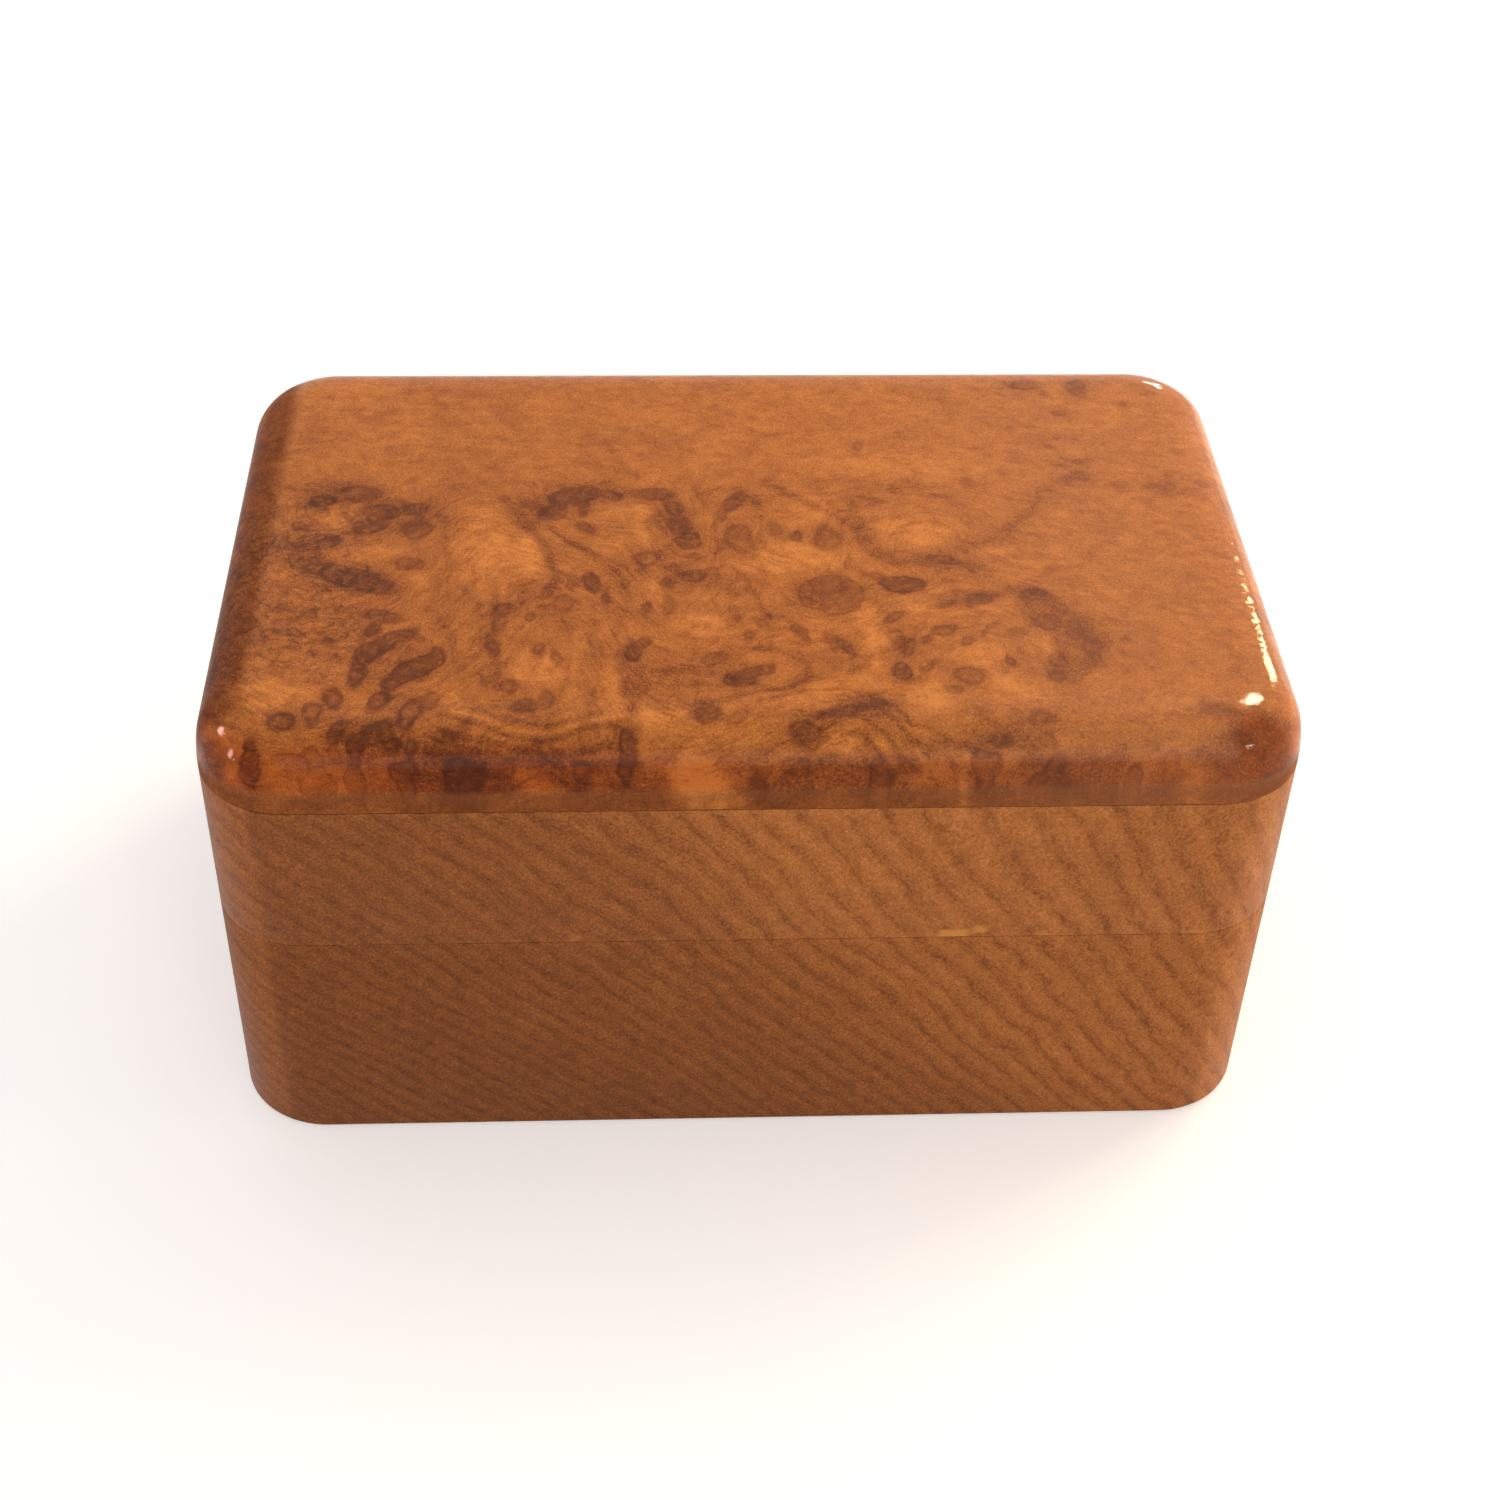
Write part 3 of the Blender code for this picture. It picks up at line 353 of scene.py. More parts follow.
def is_along(direction):
    """A test for edges that are parallel to one axis, 0 to 2."""
    others = [other for other in range(3) if other != direction]

    def test(edge):
        run = edge.verts[0].co - edge.verts[1].co
        return all(abs(run[other]) < TOUCH for other in others)
    return test


def is_rim(level):
    """A test for the edges that turn a corner at one height."""
    def test(edge):
        flat = all(abs(vert.co.z - level) < TOUCH for vert in edge.verts)
        return flat and len(edge.link_faces) == 2 and edge.calc_face_angle() > RIM_TURN
    return test


def round_edges(piece, test, radius, segments, profile=0.5):
    open_piece(piece)
    pick(piece, "edges", test)
    bpy.ops.mesh.bevel(offset=radius, segments=segments, profile=profile, affect='EDGES')
    close_piece()


def divide(piece, direction, parts):
    """In edit mode, cut a piece across one axis, in two rounds because a call makes 100 cuts at most."""
    first = round(math.sqrt(parts))
    for count in (first, round(parts / first)):
        pick(piece, "edges", is_along(direction))
        bpy.ops.mesh.subdivide(number_cuts=count - 1)


def rounded_block(name, low, high, corner_radius, segments):
    """A block with rounded upright corners."""
    piece = start_block(name, low, high)
    round_edges(piece, is_along(2), corner_radius, segments)
    return piece


def apply(piece, modifier):
    bpy.context.view_layer.objects.active = piece
    bpy.ops.object.modifier_apply(modifier=modifier.name)


def carve(piece, *cutters):
    """Cut shapes out of a piece, and clear them away."""
    for cutter in cutters:
        modifier = piece.modifiers.new("carve", 'BOOLEAN')
        modifier.object = cutter
        modifier.operation = 'DIFFERENCE'
        modifier.solver = 'EXACT'
        apply(piece, modifier)
        bpy.data.objects.remove(cutter)


def cut_off(piece, place, outward):
    """Saw a piece through and close it again."""
    open_piece(piece, 'FACE')
    pick(piece, "faces", lambda face: True)
    bpy.ops.mesh.bisect(plane_co=place, plane_no=outward, use_fill=True, clear_outer=True)
    close_piece()


def smooth(piece):
    choose(piece)
    bpy.ops.object.shade_smooth_by_angle(angle=SMOOTH_TURN)


def hand_over(piece, body, slot, material, *nodes):
    """Give a finished piece its look and its place in the frame."""
    piece.data.materials.clear()
    piece.data.materials.append(material)
    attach(piece, body)
    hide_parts(*nodes)


class Look:
    """The nodes of one finish. In a sum or a vector, values in brackets are multiplied."""

    def __init__(self, holder, shader="Principled BSDF"):
        holder.use_nodes = True
        self.holder, self.tree = holder, holder.node_tree
        self.shader = self.tree.nodes[shader]

    def feed(self, socket, value):
        if isinstance(value, bpy.types.NodeSocket):
            self.tree.links.new(value, socket)
        else:
            socket.default_value = value

    def feed_named(self, node, **values):
        for name, value in values.items():
            self.feed(node.inputs[name.replace("_", " ")], value)
        return node

    def node(self, kind, *values, **settings):
        """A node with its first sockets fed in order."""
        made = self.tree.nodes.new("ShaderNode" + kind)
        for option, value in settings.items():
            setattr(made, option, value)
        for socket, value in zip(made.inputs, values):
            self.feed(socket, value)
        return made

    def math(self, operation, *values, clamp=False):
        return self.node("Math", *values, operation=operation, use_clamp=clamp).outputs[0]

    def fold(self, operation, values):
        total = values[0]
        for value in values[1:]:
            total = self.math(operation, total, value)
        return total

    def times(self, *values):
        return self.fold('MULTIPLY', values)

    def multiply_out(self, values):
        return [self.times(*value) if isinstance(value, tuple) else value for value in values]

    def add(self, *values):
        return self.fold('ADD', self.multiply_out(values))

    def vector(self, *values):
        return self.node("CombineXYZ", *self.multiply_out(values)).outputs[0]

    def far(self, value, middle=0.0):
        """How far a value is from a middle one."""
        return self.math('ABSOLUTE', self.math('SUBTRACT', value, middle) if middle else value)

    def band(self, value, low, high, start=0.0, end=1.0):
        """A soft step from start to end as value goes from low to high."""
        return self.node("MapRange", value, low, high, start, end, interpolation_type='SMOOTHSTEP').outputs[0]

    def window(self, *steps):
        """Soft steps multiplied: 1 only where all of them are."""
        return self.times(*(self.band(*step) for step in steps))

    def ramp(self, value, stops):
        made = self.node("ValToRGB", value)
        elements = made.color_ramp.elements
        elements.remove(elements[-1])
        for number, (place, tint) in enumerate(stops):
            element = elements.new(place) if number else elements[0]
            element.position = place
            element.color = opaque(tint) if isinstance(tint, tuple) else (tint, tint, tint, 1.0)
        return made.outputs[0]

    def mix(self, share, first, tint, blend='MIX'):
        made = self.node("Mix", data_type='RGBA', blend_type=blend)
        for number, value in ((0, share), (6, first), (7, opaque(tint))):
            self.feed(made.inputs[number], value)
        return made.outputs[2]

    def place(self):
        """Object coordinates in millimetres, and their three parts."""
        source = self.node("TexCoord").outputs["Object"]
        where = self.node("VectorMath", source, [1 / MM] * 3, operation='MULTIPLY').outputs[0]
        return (where, *self.node("SeparateXYZ", where).outputs)

    def noise(self, where, scale, detail):
        """Noise centred on zero."""
        made = self.feed_named(self.node("TexNoise"), Vector=where, Scale=scale, Detail=detail)
        return self.math('SUBTRACT', made.outputs[0], 0.5)

    def grain(self, detail, *values, scale=1.0):
        """Noise over coordinates stretched as wood's lines are."""
        return self.noise(self.vector(*values), scale, detail)

    def attribute(self, name):
        return self.node("Attribute", attribute_name=name).outputs["Fac"]

    def bump(self, height, strength, depth):
        made = self.feed_named(self.node("Bump"), Strength=strength, Distance=depth, Height=height)
        return made.outputs[0]

    def sight(self):
        """1 where this is seen, straight or mirrored; 0 where it only gives light."""
        path = self.node("LightPath").outputs
        return self.fold('MAXIMUM', [path[f"Is {way} Ray"] for way in ("Camera", "Glossy", "Transmission")])

    def finish(self, **values):
        self.feed_named(self.shader, **values)
        return self.holder


def mix_body_wood(name, side):
    """Wood of the block: dark growth lines that run on across the saw cut and round the corners."""
    look = Look(bpy.data.materials.new(name))
    where, x, y, z = look.place()
    sway = look.noise(where, 0.07, 2)
    wave = look.noise(where, 0.3, 2)
    rings = look.add(
        (x, look.add((x, -0.00045), (z, -0.003), 0.382)), (z, look.add((z, -0.00265), 0.412)),
        (y, 0.2), (sway, 1.8), (wave, look.band(x, -15, 30, 0.3, 0.6)))
    along = look.times(look.math('SUBTRACT', x, z), 0.7)
    ragged = look.add(rings, (look.grain(2, (rings, 2.0), (along, 0.9), (y, 0.9)), 0.11))
    line = look.ramp(look.math('FRACT', ragged), (
        (0.0, 0.78), (0.07, 0.92), (0.18, 0.7), (0.38, 0.26), (0.6, 0.0), (0.78, 0.0), (0.92, 0.35),
        (1.0, 0.78)))
    dash = look.band(look.grain(2, (rings, 4.5), (along, 0.55), (y, 0.5)), -0.08, 0.12)
    fibre = look.grain(3, (rings, 7), (along, 0.25), (y, 0.2))
    pore = look.band(look.grain(1, (rings, 11), (along, 1.2), (y, 1.2)), 0.15, 0.24)
    mottle = look.noise(where, 0.85, 4)
    broad = look.noise(where, 0.16, 2)
    fine = look.noise(where, 3.6, 2)
    grit = look.grain(1, (rings, 9), (along, 3.0), (y, 3.0), scale=1.5)
    # Tone along the rings, darker lower left and lighter upper right: partly the wood's own tone, partly
    # painted light.
    tone_and_painted_light = look.ramp(look.add((rings, 0.025), 0.35), (
        (0.0, 0.395), (0.12, 0.41), (0.28, 0.465), (0.36, 0.5), (0.42, 0.55), (0.49, 0.645), (0.7, 0.665),
        (1.0, 0.69)))
    line = look.times(line, look.add((dash, 0.55), 0.45), look.add(0.62, look.band(rings, -6, 8, 0.0, 0.38)))
    sidewise, depthwise = look.far(x), look.far(y)
    # Painted light: the rounded upright corners are drawn lighter than the flat faces.
    corner = look.window((sidewise, *PAINTED_LIGHT_CORNER_SIDE), (depthwise, *PAINTED_LIGHT_CORNER_FRONT))
    inside = look.window((sidewise, *HOLLOW_SIDE), (depthwise, *HOLLOW_FRONT))
    patchy = look.grain(3, (x, 0.35), z, y)
    seam, glue = SEAM_LEVEL / MM, GLUE_LEVEL / MM
    worn = look.window(
        (z, seam + 0.5, seam + 0.3), (z, seam - 0.2, seam), (patchy, -0.05, 0.05), (x, -4, -12), (y, *FRONT))
    pale = look.window((z, glue - 0.9, glue - 0.4), (patchy, -0.12, 0.1))
    # Painted light: the lid ring is drawn lighter than the base ring, and lighter again in the middle.
    painted_lid_light = look.times(look.window((x, -16, 2), (x, 36, 18)), 0.02 * (1 + side))
    shade = look.add(
        tone_and_painted_light, 0.012 * side, painted_lid_light, (mottle, 0.28), (broad, 0.14), (fine, 0.46), (grit, 0.6), (fibre, 0.24),
        (line, -0.24), (pore, -0.14), (corner, 0.12), (inside, 0.1), (worn, 0.05), (pale, 0.05))
    crumble = look.noise(where, 1.6, 3)
    chips = 0.0
    for place, low, high, half_length, strength in CHIPS:
        chips = look.add(chips, look.window(
            (look.far(x, place), half_length, half_length - 0.7), (z, high, high - 0.5),
            (z, low, low + 0.15), (y, *FRONT), (crumble, -0.26, -0.08, 0.0, strength)))
    return look.finish(
        Base_Color=look.mix(chips, look.ramp(shade, BODY_TINTS), CHIP_TINT),
        Roughness=look.add(0.42, (fine, 0.2), (inside, 0.18)),
        Specular_IOR_Level=0.07,
        Normal=look.bump(look.add((line, -0.5), (pore, -0.8), (fine, 0.5)), 0.25, 0.0001))


def mix_burl():
    """Varnished burl: dark eyes with rims, clouds, fine growth lines that flow round them."""
    look = Look(bpy.data.materials.new("varnished_burl"))
    where, x, y, z = look.place()
    growth, eye, depth, heart, cloud, stain, shore = (look.attribute(name) for name in LAYERS)
    # The glued face below has no figure, only growth lines
    glued, shown = (look.band(z, GLUE_LEVEL / MM + low, GLUE_LEVEL / MM + high) for low, high in (
        (0.14, 0.06), (0.06, 0.14)))
    growth, eye, cloud, stain = (look.times(value, shown) for value in (growth, eye, cloud, stain))
    eye = look.add(eye, (glued, FAR_FROM_EYES))
    growth = look.add(
        growth, (look.add(y, (look.noise(where, 0.06, 2), 9.0)), glued), (look.noise(where, 0.45, 2), 1.8))
    wild = look.window((y, 10, 6), (x, 33, 26))
    fibre = look.grain(4, (growth, 1.7), (x, 0.5), (y, 0.5))
    streak = look.grain(2, (growth, 0.6), (x, 0.22), (y, 0.22))
    mottle = look.noise(where, 0.8, 4)
    broad = look.noise(where, 0.22, 2)
    fine = look.noise(where, 4.2, 3)
    grit = look.noise(where, 9.5, 1)
    vein = look.window((look.far(streak), 0.03, 0.0), (mottle, -0.05, 0.1))
    flow = look.band(look.grain(1, (growth, 1.35), (x, 0.3), (y, 0.3)), 0.03, 0.16)
    fleck = look.band(look.grain(2, (growth, 2.4), (x, 0.9), (y, 0.5)), 0.1, 0.22)
    ripple = look.times(look.grain(3, look.add((x, 0.63), (y, 0.9)), look.add((x, 0.33), (y, -0.23))),
                        look.window((x, 16, 34), (y, -27, -18)))
    shaken = look.node("VectorMath", where, look.times(mottle, 2.4)).outputs[0]
    cells = look.feed_named(look.node("TexVoronoi"), Vector=shaken, Scale=1.15).outputs["Distance"]
    pebble = look.band(cells, 0.05, 0.75, 0.5, -0.5)
    leather = look.window((cells, 0.4, 0.7, 0.25, -0.75), (x, -33, -38), (y, 6, 1), (y, -26, -21))
    edge = look.add(eye, (look.noise(where, 1.0, 3), 0.6), (fibre, 0.25), (pebble, 0.2), 0.1)
    body = look.band(edge, -0.3, 0.34)
    outline = look.math('SUBTRACT', 1.0, look.times(look.far(edge, 0.16), 4.2), clamp=True)
    halo = look.band(edge, -0.9, 0.2)
    core = look.times(heart, look.band(edge, 0.3, 0.65))
    dark = look.times(depth, look.add(
        (body, look.add(0.6, (fine, 1.8), (fibre, 0.9), (pebble, -0.36), (mottle, 1.6))),
        (outline, look.add(0.36, mottle)), (halo, 0.08), (core, -0.36)))
    patch = look.band(look.add(cloud, (mottle, 1.2), (fibre, 0.4)), -0.26, -0.5)
    strip = look.band(z, *STRIP)
    column = look.grain(3, (x, 2.0), (y, 2.0), (z, 0.35))
    # Painted light: the burl is drawn lighter towards the right and towards the back.
    painted_light_right_back = look.add(look.band(x, -30, 16, 0.0, 0.05), look.band(y, 4, 12, 0.0, 0.03))
    rough = look.add(look.band(cloud, -0.2, 0.2, 0.2, 0.4), (mottle, 0.6), (pebble, -0.16), (fibre, 0.5))
    # Painted shade darkens the rounding at the left end.
    shade = look.add(
        0.645, painted_light_right_back, look.band(strip, 0, 1, -0.2, 0.0), (shore, -0.3), (cloud, rough),
        (patch, look.add(-0.07, (fine, 0.3), (mottle, 0.3))), (fibre, 0.26),
        (streak, look.add((wild, 0.1), 0.16)), (mottle, 0.4), (broad, 0.24), (grit, 0.8),
        (fine, 0.62), (fleck, -0.09), (flow, look.add((wild, -0.06), -0.03)), (ripple, 0.3),
        (vein, wild, -0.07), (leather, 0.12), (dark, look.band(strip, 0, 1, -0.16, -0.38)),
        (column, look.band(strip, 1, 0, 0.0, 0.22)))
    tint = look.ramp(shade, BURL_TINTS)
    # Painted sheen: a pale pinkish tint laid over the burl towards the right.
    tint = look.mix(look.band(x, 4, 36, 0.0, 0.16), tint, PAINTED_SHEEN_TINT)
    tint = look.mix(look.band(strip, 0, 1, 0.4, 0.0), tint, STRIP_TINT)
    # Pooled varnish and painted shade darken the rounding, most on the left.
    tint = look.mix(stain, tint, STAIN_AND_SHADE_TINT, 'MULTIPLY')
    varnish = look.add(look.noise(where, 0.6, 2), (fibre, 0.2), (leather, 0.4))
    relief = look.add((fibre, 0.5), (dark, -0.4), (leather, 0.6))
    return look.finish(
        Base_Color=tint,
        Roughness=look.add(0.42, (fine, 0.2)),
        Specular_IOR_Level=0.0,
        Coat_Weight=look.window((z, *LACQUER, 0.15, 1.0), (shore, 0, 1, 1.0, 0.3)),
        Coat_Roughness=0.08,
        Coat_IOR=1.17,
        Coat_Normal=look.bump(varnish, 1.0, 0.00007),
        Normal=look.bump(relief, 0.3, 0.00008))


def mix_board_wood():
    """Thin floor board, planed and left bare, with straight grain."""
    look = Look(bpy.data.materials.new("bare_board"))
    where, x, y, z = look.place()
    rings = look.add((y, 0.55), (look.noise(where, 0.05, 2), 3.0))
    grain = look.grain(4, (x, 0.05), (rings, 3.0), z)
    pore = look.band(look.grain(1, (x, 0.5), (y, 5.0), z), 0.18, 0.25)
    shade = look.add(0.56, (grain, 0.45), (pore, -0.15), (look.noise(where, 0.4, 3), 0.15))
    return look.finish(
        Base_Color=look.ramp(shade, BODY_TINTS),
        Roughness=look.add(0.58, (grain, 0.2)),
        Specular_IOR_Level=0.25,
        Normal=look.bump(look.add(grain, (pore, -0.8)), 0.25, 0.0001))


def mix_brass():
    """Small brass fittings, filed and a little tarnished."""
    look = Look(bpy.data.materials.new("old_brass"))
    where, x, y, z = look.place()
    scratch = look.grain(3, (x, 0.6), (y, 9.0), (z, 9.0))
    patina = look.noise(where, 0.8, 4)
    return look.finish(
        Base_Color=look.ramp(look.add(0.55, patina, (scratch, 0.25)), BRASS_TINTS),
        Metallic=1.0,
        Roughness=look.add(0.34, (patina, 0.3), (scratch, 0.12)),
        Normal=look.bump(scratch, 0.15, 0.00005))


def lay_field(places, rows):
    """For each row, how far every place is from its middle: 0 there, 1 at its rim."""
    for x, y, length, width, turn, value in rows:
        cos, sin = math.cos(math.radians(turn)), math.sin(math.radians(turn))
        across, up = places[:, 0] - x, places[:, 1] - y
        away = np.hypot((across * cos + up * sin) / length, (up * cos - across * sin) / width)
        yield away, length, width, value


def line_distance(places, points):
    """Distance from each place to a line through points."""
    nearest = np.full(len(places), 1e3)
    for start, end in zip(np.array(points), np.array(points[1:])):
        run = end - start
        share = np.clip((places - start) @ run / (run @ run), 0, 1)
        nearest = np.minimum(nearest, np.linalg.norm(places - start - share[:, None] * run, axis=1))
    return nearest


def soft_step(value, low, high):
    share = np.clip((value - low) / (high - low), 0, 1)
    return share * share * (3 - 2 * share)


def figure_burl(plate):
    """Write the burl's figure on the plate's points, in the order of LAYERS."""
    count = len(plate.data.vertices)
    places = np.empty(count * 3, np.float32)
    plate.data.vertices.foreach_get("co", places)
    places = places.reshape(-1, 3) / MM
    drop = PLATE_HIGH.z / MM - places[:, 2]
    noise.seed_set(DRIFT_SEED)
    drift = np.array([noise.noise_vector(Vector(place)) for place in np.column_stack(
        (places[:, :2] * DRIFT_SCALE, DRIFT_LEVEL + drop * DRIFT_SCALE))])
    bent = places[:, :2] + drift[:, :2] * DRIFT_REACH
    eye = np.full(count, FAR_FROM_EYES)
    depth, heart = np.zeros(count), np.zeros(count)
    growth = bent[:, 1] + bent[:, 0] * 0.06 - drop
    for rows, is_ring in ((EYES, 0.0), (RING_EYES, 1.0)):
        for away, length, width, value in lay_field(bent, rows):
            reach = (1 - away) * min(length, width)
            nearer = reach > eye
            eye[nearer], depth[nearer], heart[nearer] = reach[nearer], value, is_ring
            growth += 1.5 * min(length, width) * np.exp(-0.45 * away ** 2)
    for away, _, _, value in lay_field(bent, HILLS):
        growth += value * np.exp(-away ** 2)
    cloud = np.zeros(count)
    for away, _, _, value in lay_field(bent, CLOUDS):
        cloud += value * np.exp(-away ** 4 * 0.6)
    for value, width, *points in STRANDS:
        cloud += value * np.exp(-(line_distance(bent, points) / width) ** 2)
    cloud = np.tanh(cloud * 1.2 + drift[:, 2] * soft_step(drop, 0.8, 2.5))
    # Pooled varnish and painted shade on the rounding, deeper towards the left where the plate gets little
    # light, and the dark spot at the right front corner
    leftness = soft_step(places[:, 0], 10, -35)
    above_edge = soft_step(drop, 5.9, 5.5)
    stain = soft_step(drop, 2.0 - 1.5 * leftness, 3.7 - 1.0 * leftness) * above_edge
    stain *= 1 - 0.3 * soft_step(places[:, 0], -20, 5)
    corner = np.hypot((bent[:, 0] - 45.2) / 3.6, (bent[:, 1] + 29.8) / 2.6)
    stain = np.maximum(stain, 0.9 * soft_step(corner, 1.2, 0.6) * above_edge)
    # Painted shade on the rounding at the left end
    shore = soft_step(-places[:, 0], 44.4, 46.2) * soft_step(-places[:, 0], 49.9, 49.2) * soft_step(
        places[:, 1], -27.5, -24.5)
    eye += (1.3 * drift[:, 2] - 0.25) * soft_step(drop, 1, 3)
    for name, values in zip(LAYERS, (growth, eye, depth ** 0.65, heart, cloud, stain, shore)):
        layer = plate.data.attributes.new(name, 'FLOAT', 'POINT')
        layer.data.foreach_set("value", values.astype(np.float32))


def settings():
    return bpy.context.scene.keepsake_sizes, bpy.context.scene.keepsake_light


def number(name, description, default, unit='LENGTH'):
    return bpy.props.FloatProperty(name=name, description=description, default=default, unit=unit)


class KeepsakeSizes(bpy.types.PropertyGroup):
    corner_radius: number("Corner radius", "Rounding of the upright corners", 0.0087)
    top_rounding: number("Top rounding", "Width of the soft rounding along the plate's edge", 0.0085)
    foot_rounding: number("Foot rounding", "Rounding of the edge that the box stands on", 0.0005)
    wall: number("Wall", "Thickness of the wooden walls", 0.008)
    hollow_radius: number("Hollow corner radius", "Rounding in the corners of the hollow", 0.005)
    ledge: number("Ledge", "Step that the floor board is glued against", 0.0025)
    easing: number("Rim easing", "Sanded edges beside the saw cut", 0.00008)
    saw_cut: number("Saw cut", "Gap that shows between base and lid", 0.00003)
    glue_line: number("Glue line", "Gap that shows below the burl", 0.00008)
    grid: number("Figure grid", "Distance between the points that carry the burl's figure", 0.00028)


class KeepsakeLight(bpy.types.PropertyGroup):
    floor_tint: bpy.props.FloatVectorProperty(
        name="Floor", description="Colour of the floor and backdrop", subtype='COLOR', size=3,
        default=(0.9, 0.9, 0.9), min=0.0, max=1.0)
    ambient: number("Ambient", "Strength of the light from all round", 0.47, 'NONE')
    lens: number("Lens", "Focal length of the camera in millimetres", 57.27, 'NONE')


class KEEPSAKE_OT_burl_plate(bpy.types.Operator):
    """Thick burl plate with a rounded top edge and its eyes, clouds and growth lines"""
    bl_idname = "keepsake.burl_plate"
    bl_label = "Burl plate"

    def execute(self, context):
        sizes, _ = settings()
        low = Vector((PLATE_LOW.x, PLATE_LOW.y, GLUE_LEVEL + sizes.glue_line / 2))
        reach = Vector((0, 0, sizes.top_rounding / 2))
        form = rounded_block("plate_form", low - reach, PLATE_HIGH, sizes.corner_radius, PLATE_STEPS)
        round_edges(form, is_rim(PLATE_HIGH.z), sizes.top_rounding, PLATE_STEPS, PLATE_PROFILE)
        cut_off(form, low, (0, 0, -1))
        plate = start_block("burl_plate", low, PLATE_HIGH)
        open_piece(plate)
        for direction, step in ((2, 2 * sizes.grid), (0, sizes.grid), (1, sizes.grid)):
            divide(plate, direction, (PLATE_HIGH - low)[direction] / step)
        close_piece()
        wrap = plate.modifiers.new("wrap", 'SHRINKWRAP')
        wrap.target = form
        apply(plate, wrap)
        bpy.data.objects.remove(form)
        open_piece(plate, 'FACE')
        pick(plate, "faces", lambda face: face.normal.z < -0.9)
        bpy.ops.mesh.dissolve_faces()
        close_piece()
        figure_burl(plate)
        smooth(plate)
        hand_over(plate, "lid", "burl", mix_burl(), "burl_top_plate")
        return {'FINISHED'}


def make_ring(name, low, high, side):
    """A hollow ring of the block, with eased rims, the bevelled back edge and beds for the hinges."""
    sizes, _ = settings()
    ring = rounded_block(name, low, high, sizes.corner_radius, WALL_STEPS)
    inset = Vector((sizes.wall, sizes.wall, 0))
    reach = Vector((0, 0, MM))
    carve(ring, rounded_block(
        "hollow", low + inset - reach, high - inset + reach, sizes.hollow_radius, HOLLOW_STEPS))
    round_edges(ring, is_rim(SEAM_LEVEL + side * sizes.saw_cut / 2), sizes.easing, EASING_STEPS)
    if side == BELOW:
        def is_foot(edge):
            place = edge.verts[0].co
            return is_rim(low.z)(edge) and max(abs(place.x) / high.x, abs(place.y) / high.y) > OUTER_SHARE

        round_edges(ring, is_foot, sizes.foot_rounding, FOOT_STEPS)
        room = inset - Vector((sizes.ledge, sizes.ledge, 0))
        top = Vector((high.x, high.y, BOARD_HIGH.z + REBATE_PLAY))
        carve(ring, rounded_block(
            "rebate", low + room - reach, top - room, sizes.hollow_radius + sizes.ledge, HOLLOW_STEPS))
    bevel_back(ring, side)
    for hinge in HINGES:
        bed_hinge(ring, hinge, side)
    smooth(ring)
    return ring


def bevel_back(ring, side):
    """Plane off the back edge, so that the lid can lean back against the base."""
    half = STOP_ANGLE / 2
    cad_rim = BASE_HIGH.z if side == BELOW else LID_LOW.z
    start = Vector((0, HINGE_AXIS.y - abs(cad_rim - SEAM_LEVEL) * math.tan(half / 2), cad_rim))
    cut_off(ring, start, (0, math.sin(half), -side * math.cos(half)))


def bed_hinge(ring, hinge, side):
    """Let a hinge leaf and the barrel into the rim."""
    leaf_low, leaf_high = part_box(f"{hinge}_{'base' if side == BELOW else 'lid'}_leaf")
    level = HINGE_AXIS.z
    levels = sorted((level - side * MM, level + side * (BED_DEPTH + BED_PLAY)))
    bed = start_block("bed", (leaf_low.x - BED_PLAY, leaf_low.y - BED_PLAY, levels[0]),
                      (leaf_high.x + BED_PLAY, HINGE_AXIS.y, levels[1]))
    middle = (leaf_low.x + leaf_high.x) / 2
    barrel = start_rod("barrel", (middle, HINGE_AXIS.y, level), BARREL_RADIUS,
                       leaf_high.x - leaf_low.x + 2 * BED_PLAY)
    carve(ring, bed, barrel)


class KEEPSAKE_OT_lid_ring(bpy.types.Operator):
    """Upper part of the hollowed block, below the burl"""
    bl_idname = "keepsake.lid_ring"
    bl_label = "Lid ring"

    def execute(self, context):
        sizes, _ = settings()
        low = Vector((LID_LOW.x, LID_LOW.y, SEAM_LEVEL + sizes.saw_cut / 2))
        high = Vector((LID_HIGH.x, LID_HIGH.y, GLUE_LEVEL - sizes.glue_line / 2))
        ring = make_ring("lid_ring", low, high, ABOVE)
        hand_over(ring, "lid", "body_wood", mix_body_wood("lid_wood", ABOVE), "lid_body")
        return {'FINISHED'}


class KEEPSAKE_OT_base_ring(bpy.types.Operator):
    """Lower part of the hollowed block, with the rebate for the floor board"""
    bl_idname = "keepsake.base_ring"
    bl_label = "Base ring"

    def execute(self, context):
        sizes, _ = settings()
        high = Vector((BASE_HIGH.x, BASE_HIGH.y, SEAM_LEVEL - sizes.saw_cut / 2))
        ring = make_ring("base_ring", BASE_LOW, high, BELOW)
        hand_over(ring, "base", "body_wood", mix_body_wood("base_wood", BELOW), "base_body")
        return {'FINISHED'}


class KEEPSAKE_OT_floor_board(bpy.types.Operator):
    """Thin board let in below as the floor of the box"""
    bl_idname = "keepsake.floor_board"
    bl_label = "Floor board"

    def execute(self, context):
        sizes, _ = settings()
        radius = sizes.hollow_radius + sizes.ledge - BOARD_PLAY
        board = rounded_block("floor_board", BOARD_LOW, BOARD_HIGH, radius, HOLLOW_STEPS)
        for level in (BOARD_LOW.z, BOARD_HIGH.z):
            round_edges(board, is_rim(level), BOARD_ROUNDING, EASING_STEPS)
        smooth(board)
        hand_over(board, "base", "floor_board", mix_board_wood(), "base_floor")
        return {'FINISHED'}


class KEEPSAKE_OT_fittings(bpy.types.Operator):
    """Brass hinges, pins and screws"""
    bl_idname = "keepsake.fittings"
    bl_label = "Brass fittings"

    def execute(self, context):
        brass = mix_brass()
        for name, node in frame["nodes"].items():
            if name.startswith(HINGES):
                node.data.materials.clear()
                node.data.materials.append(brass)
        return {'FINISHED'}


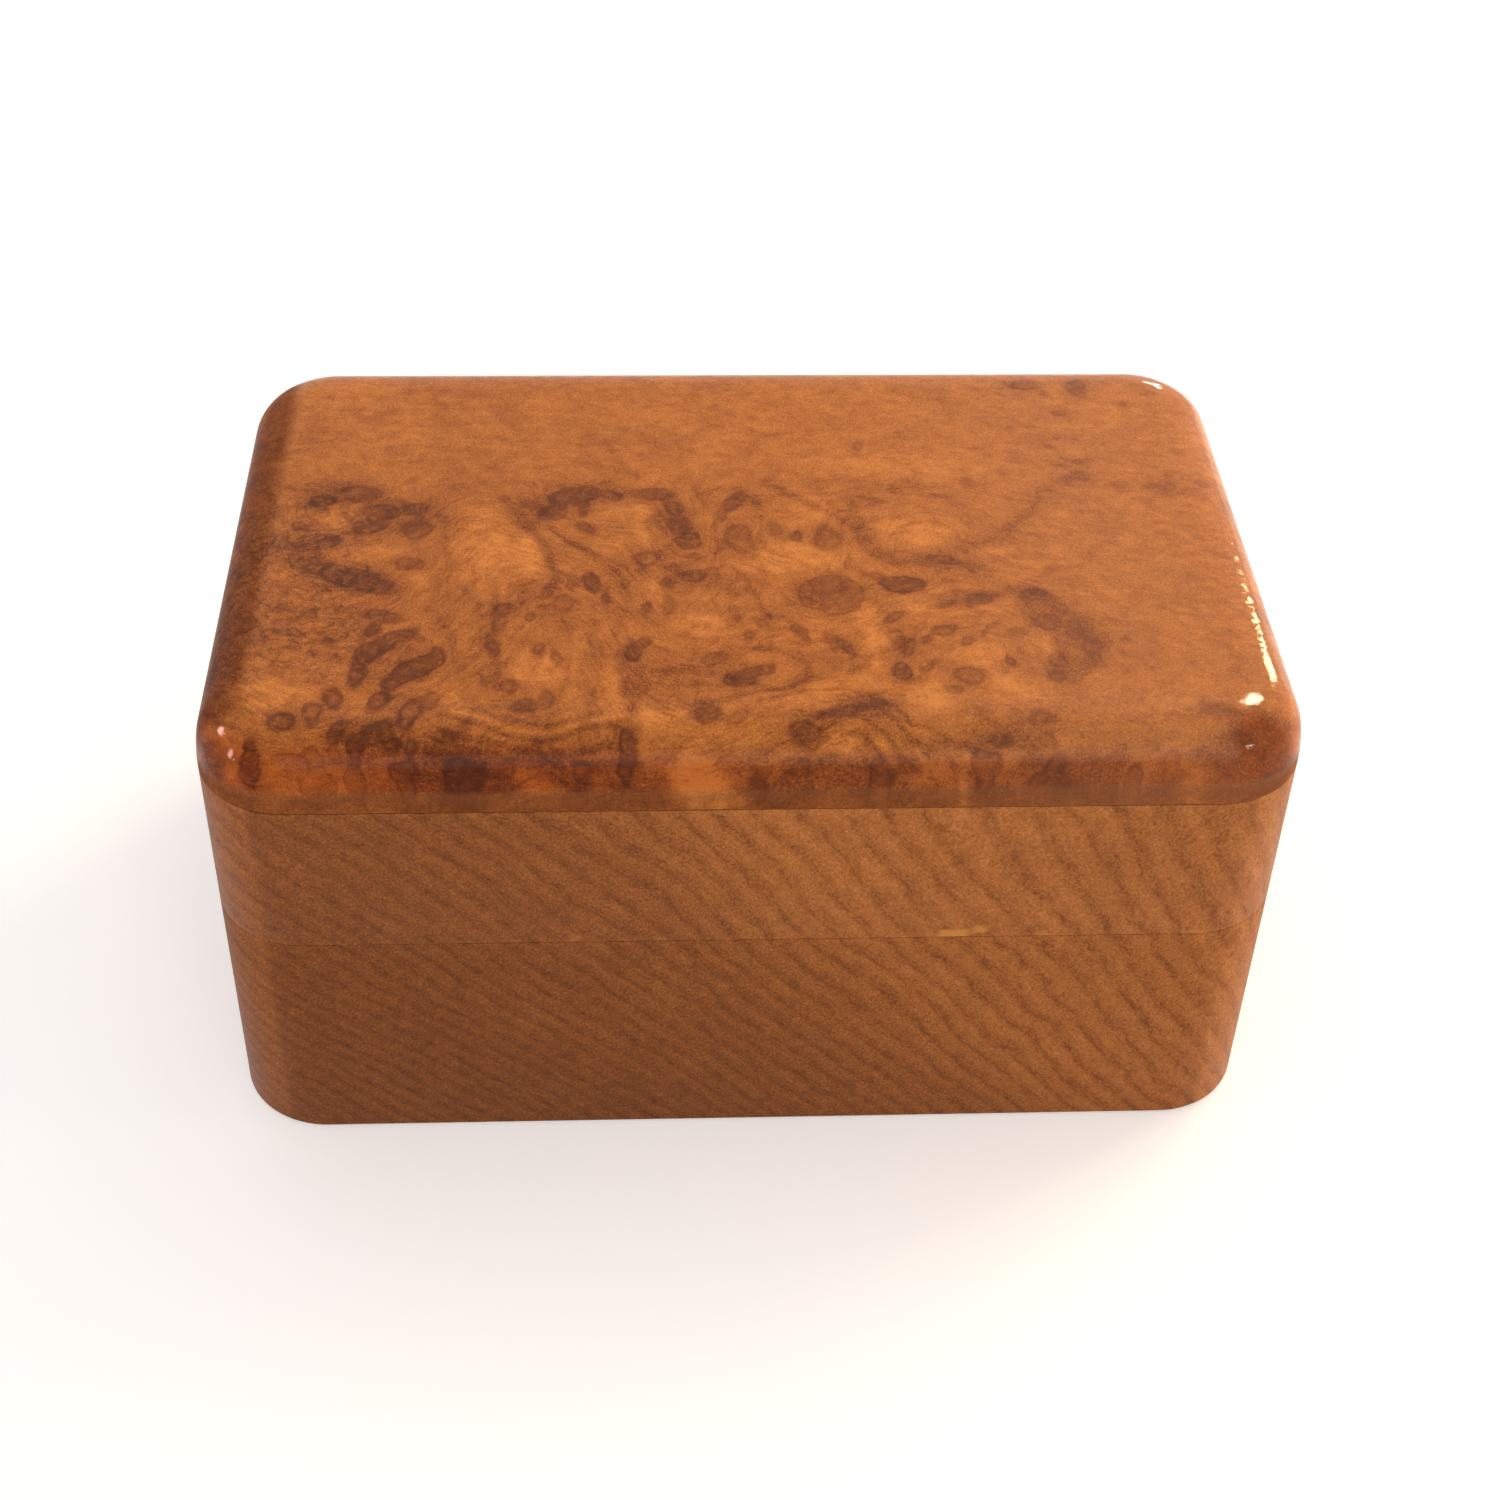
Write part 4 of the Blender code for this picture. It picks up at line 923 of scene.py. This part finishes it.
def add_lamp(name, bearing, height, distance, sides, radiance, tint, use):
    bearing, height = math.radians(bearing), math.radians(height)
    away = Vector((
        math.sin(bearing) * math.cos(height), -math.cos(bearing) * math.cos(height), math.sin(height)))
    data = bpy.data.lights.new(name, 'AREA')
    data.shape = 'RECTANGLE'
    data.size, data.size_y = sides
    data.energy = radiance * math.pi * sides[0] * sides[1]
    data.color = linear(tint)
    lamp = bpy.data.objects.new(name, data)
    lamp.location = LAMP_TARGET + away * distance
    lamp.rotation_mode = 'QUATERNION'
    lamp.rotation_quaternion = away.to_track_quat('Z', 'Y')
    lamp.visible_diffuse, lamp.visible_glossy = use != 'shine', use != 'soft'
    bpy.context.scene.collection.objects.link(lamp)


def lay_floor(light):
    choose()
    bpy.ops.mesh.primitive_plane_add(size=FLOOR_SIDE, location=(0, 0, -FLOOR_DROP))
    floor = settle("floor")
    look = Look(bpy.data.materials.new("pale_floor"))
    floor.data.materials.append(look.finish(
        Base_Color=(*light.floor_tint, 1.0), Roughness=0.9, Specular_IOR_Level=0.0,
        Emission_Color=(1.0, 1.0, 1.0, 1.0), Emission_Strength=look.times(look.sight(), 0.35)))


def light_world(light):
    """White where it is seen, and dimmer as a light."""
    look = Look(bpy.data.worlds.new("studio"), "Background")
    strength = look.node("MapRange", look.sight(), 0.0, 1.0, light.ambient, 1.0).outputs[0]
    bpy.context.scene.world = look.finish(Color=(1.0, 1.0, 1.0, 1.0), Strength=strength)


def place_camera(light):
    yaw, pitch, roll = (math.radians(turn) for turn in CAMERA_TURNS)
    ahead = Vector((math.sin(yaw) * math.cos(pitch), math.cos(yaw) * math.cos(pitch), -math.sin(pitch)))
    level = Vector((math.cos(yaw), -math.sin(yaw), 0))
    upward = level.cross(ahead)
    right = math.cos(roll) * level + math.sin(roll) * upward
    up = -math.sin(roll) * level + math.cos(roll) * upward
    data = bpy.data.cameras.new("camera")
    data.lens = light.lens
    data.sensor_width = 36
    data.clip_start, data.clip_end = 0.01, 50
    camera = bpy.data.objects.new("camera", data)
    camera.matrix_world = Matrix.Translation(CAMERA_PLACE) @ Matrix((right, up, -ahead)).transposed().to_4x4()
    bpy.context.scene.collection.objects.link(camera)
    bpy.context.scene.camera = camera


class KEEPSAKE_OT_stage(bpy.types.Operator):
    """Pale floor, soft lamps and the camera"""
    bl_idname = "keepsake.stage"
    bl_label = "Stage"

    def execute(self, context):
        _, light = settings()
        context.scene.view_settings.view_transform = 'Standard'
        lay_floor(light)
        light_world(light)
        for lamp in LAMPS:
            add_lamp(*lamp)
        place_camera(light)
        return {'FINISHED'}


OPERATORS = (KEEPSAKE_OT_burl_plate, KEEPSAKE_OT_lid_ring, KEEPSAKE_OT_base_ring, KEEPSAKE_OT_floor_board,
             KEEPSAKE_OT_fittings, KEEPSAKE_OT_stage)


class KEEPSAKE_PT_panel(bpy.types.Panel):
    bl_label = "Keepsake Box"
    bl_idname = "KEEPSAKE_PT_panel"
    bl_space_type = 'VIEW_3D'
    bl_region_type = 'UI'
    bl_category = "Keepsake Box"

    def draw(self, context):
        for group in (context.scene.keepsake_sizes, context.scene.keepsake_light):
            for name in group.__annotations__:
                self.layout.prop(group, name)
        for operator in OPERATORS:
            self.layout.operator(operator.bl_idname)


CLASSES = (KeepsakeSizes, KeepsakeLight, *OPERATORS, KEEPSAKE_PT_panel)


def register():
    for item in CLASSES:
        bpy.utils.register_class(item)
    bpy.types.Scene.keepsake_sizes = bpy.props.PointerProperty(type=KeepsakeSizes)
    bpy.types.Scene.keepsake_light = bpy.props.PointerProperty(type=KeepsakeLight)


def unregister():
    del bpy.types.Scene.keepsake_light, bpy.types.Scene.keepsake_sizes
    for item in reversed(CLASSES):
        bpy.utils.unregister_class(item)


def main():
    register()
    bpy.ops.keepsake.burl_plate()
    bpy.ops.keepsake.lid_ring()
    bpy.ops.keepsake.base_ring()
    bpy.ops.keepsake.floor_board()
    bpy.ops.keepsake.fittings()
    bpy.ops.keepsake.stage()


if __name__ == "__main__":
    main()
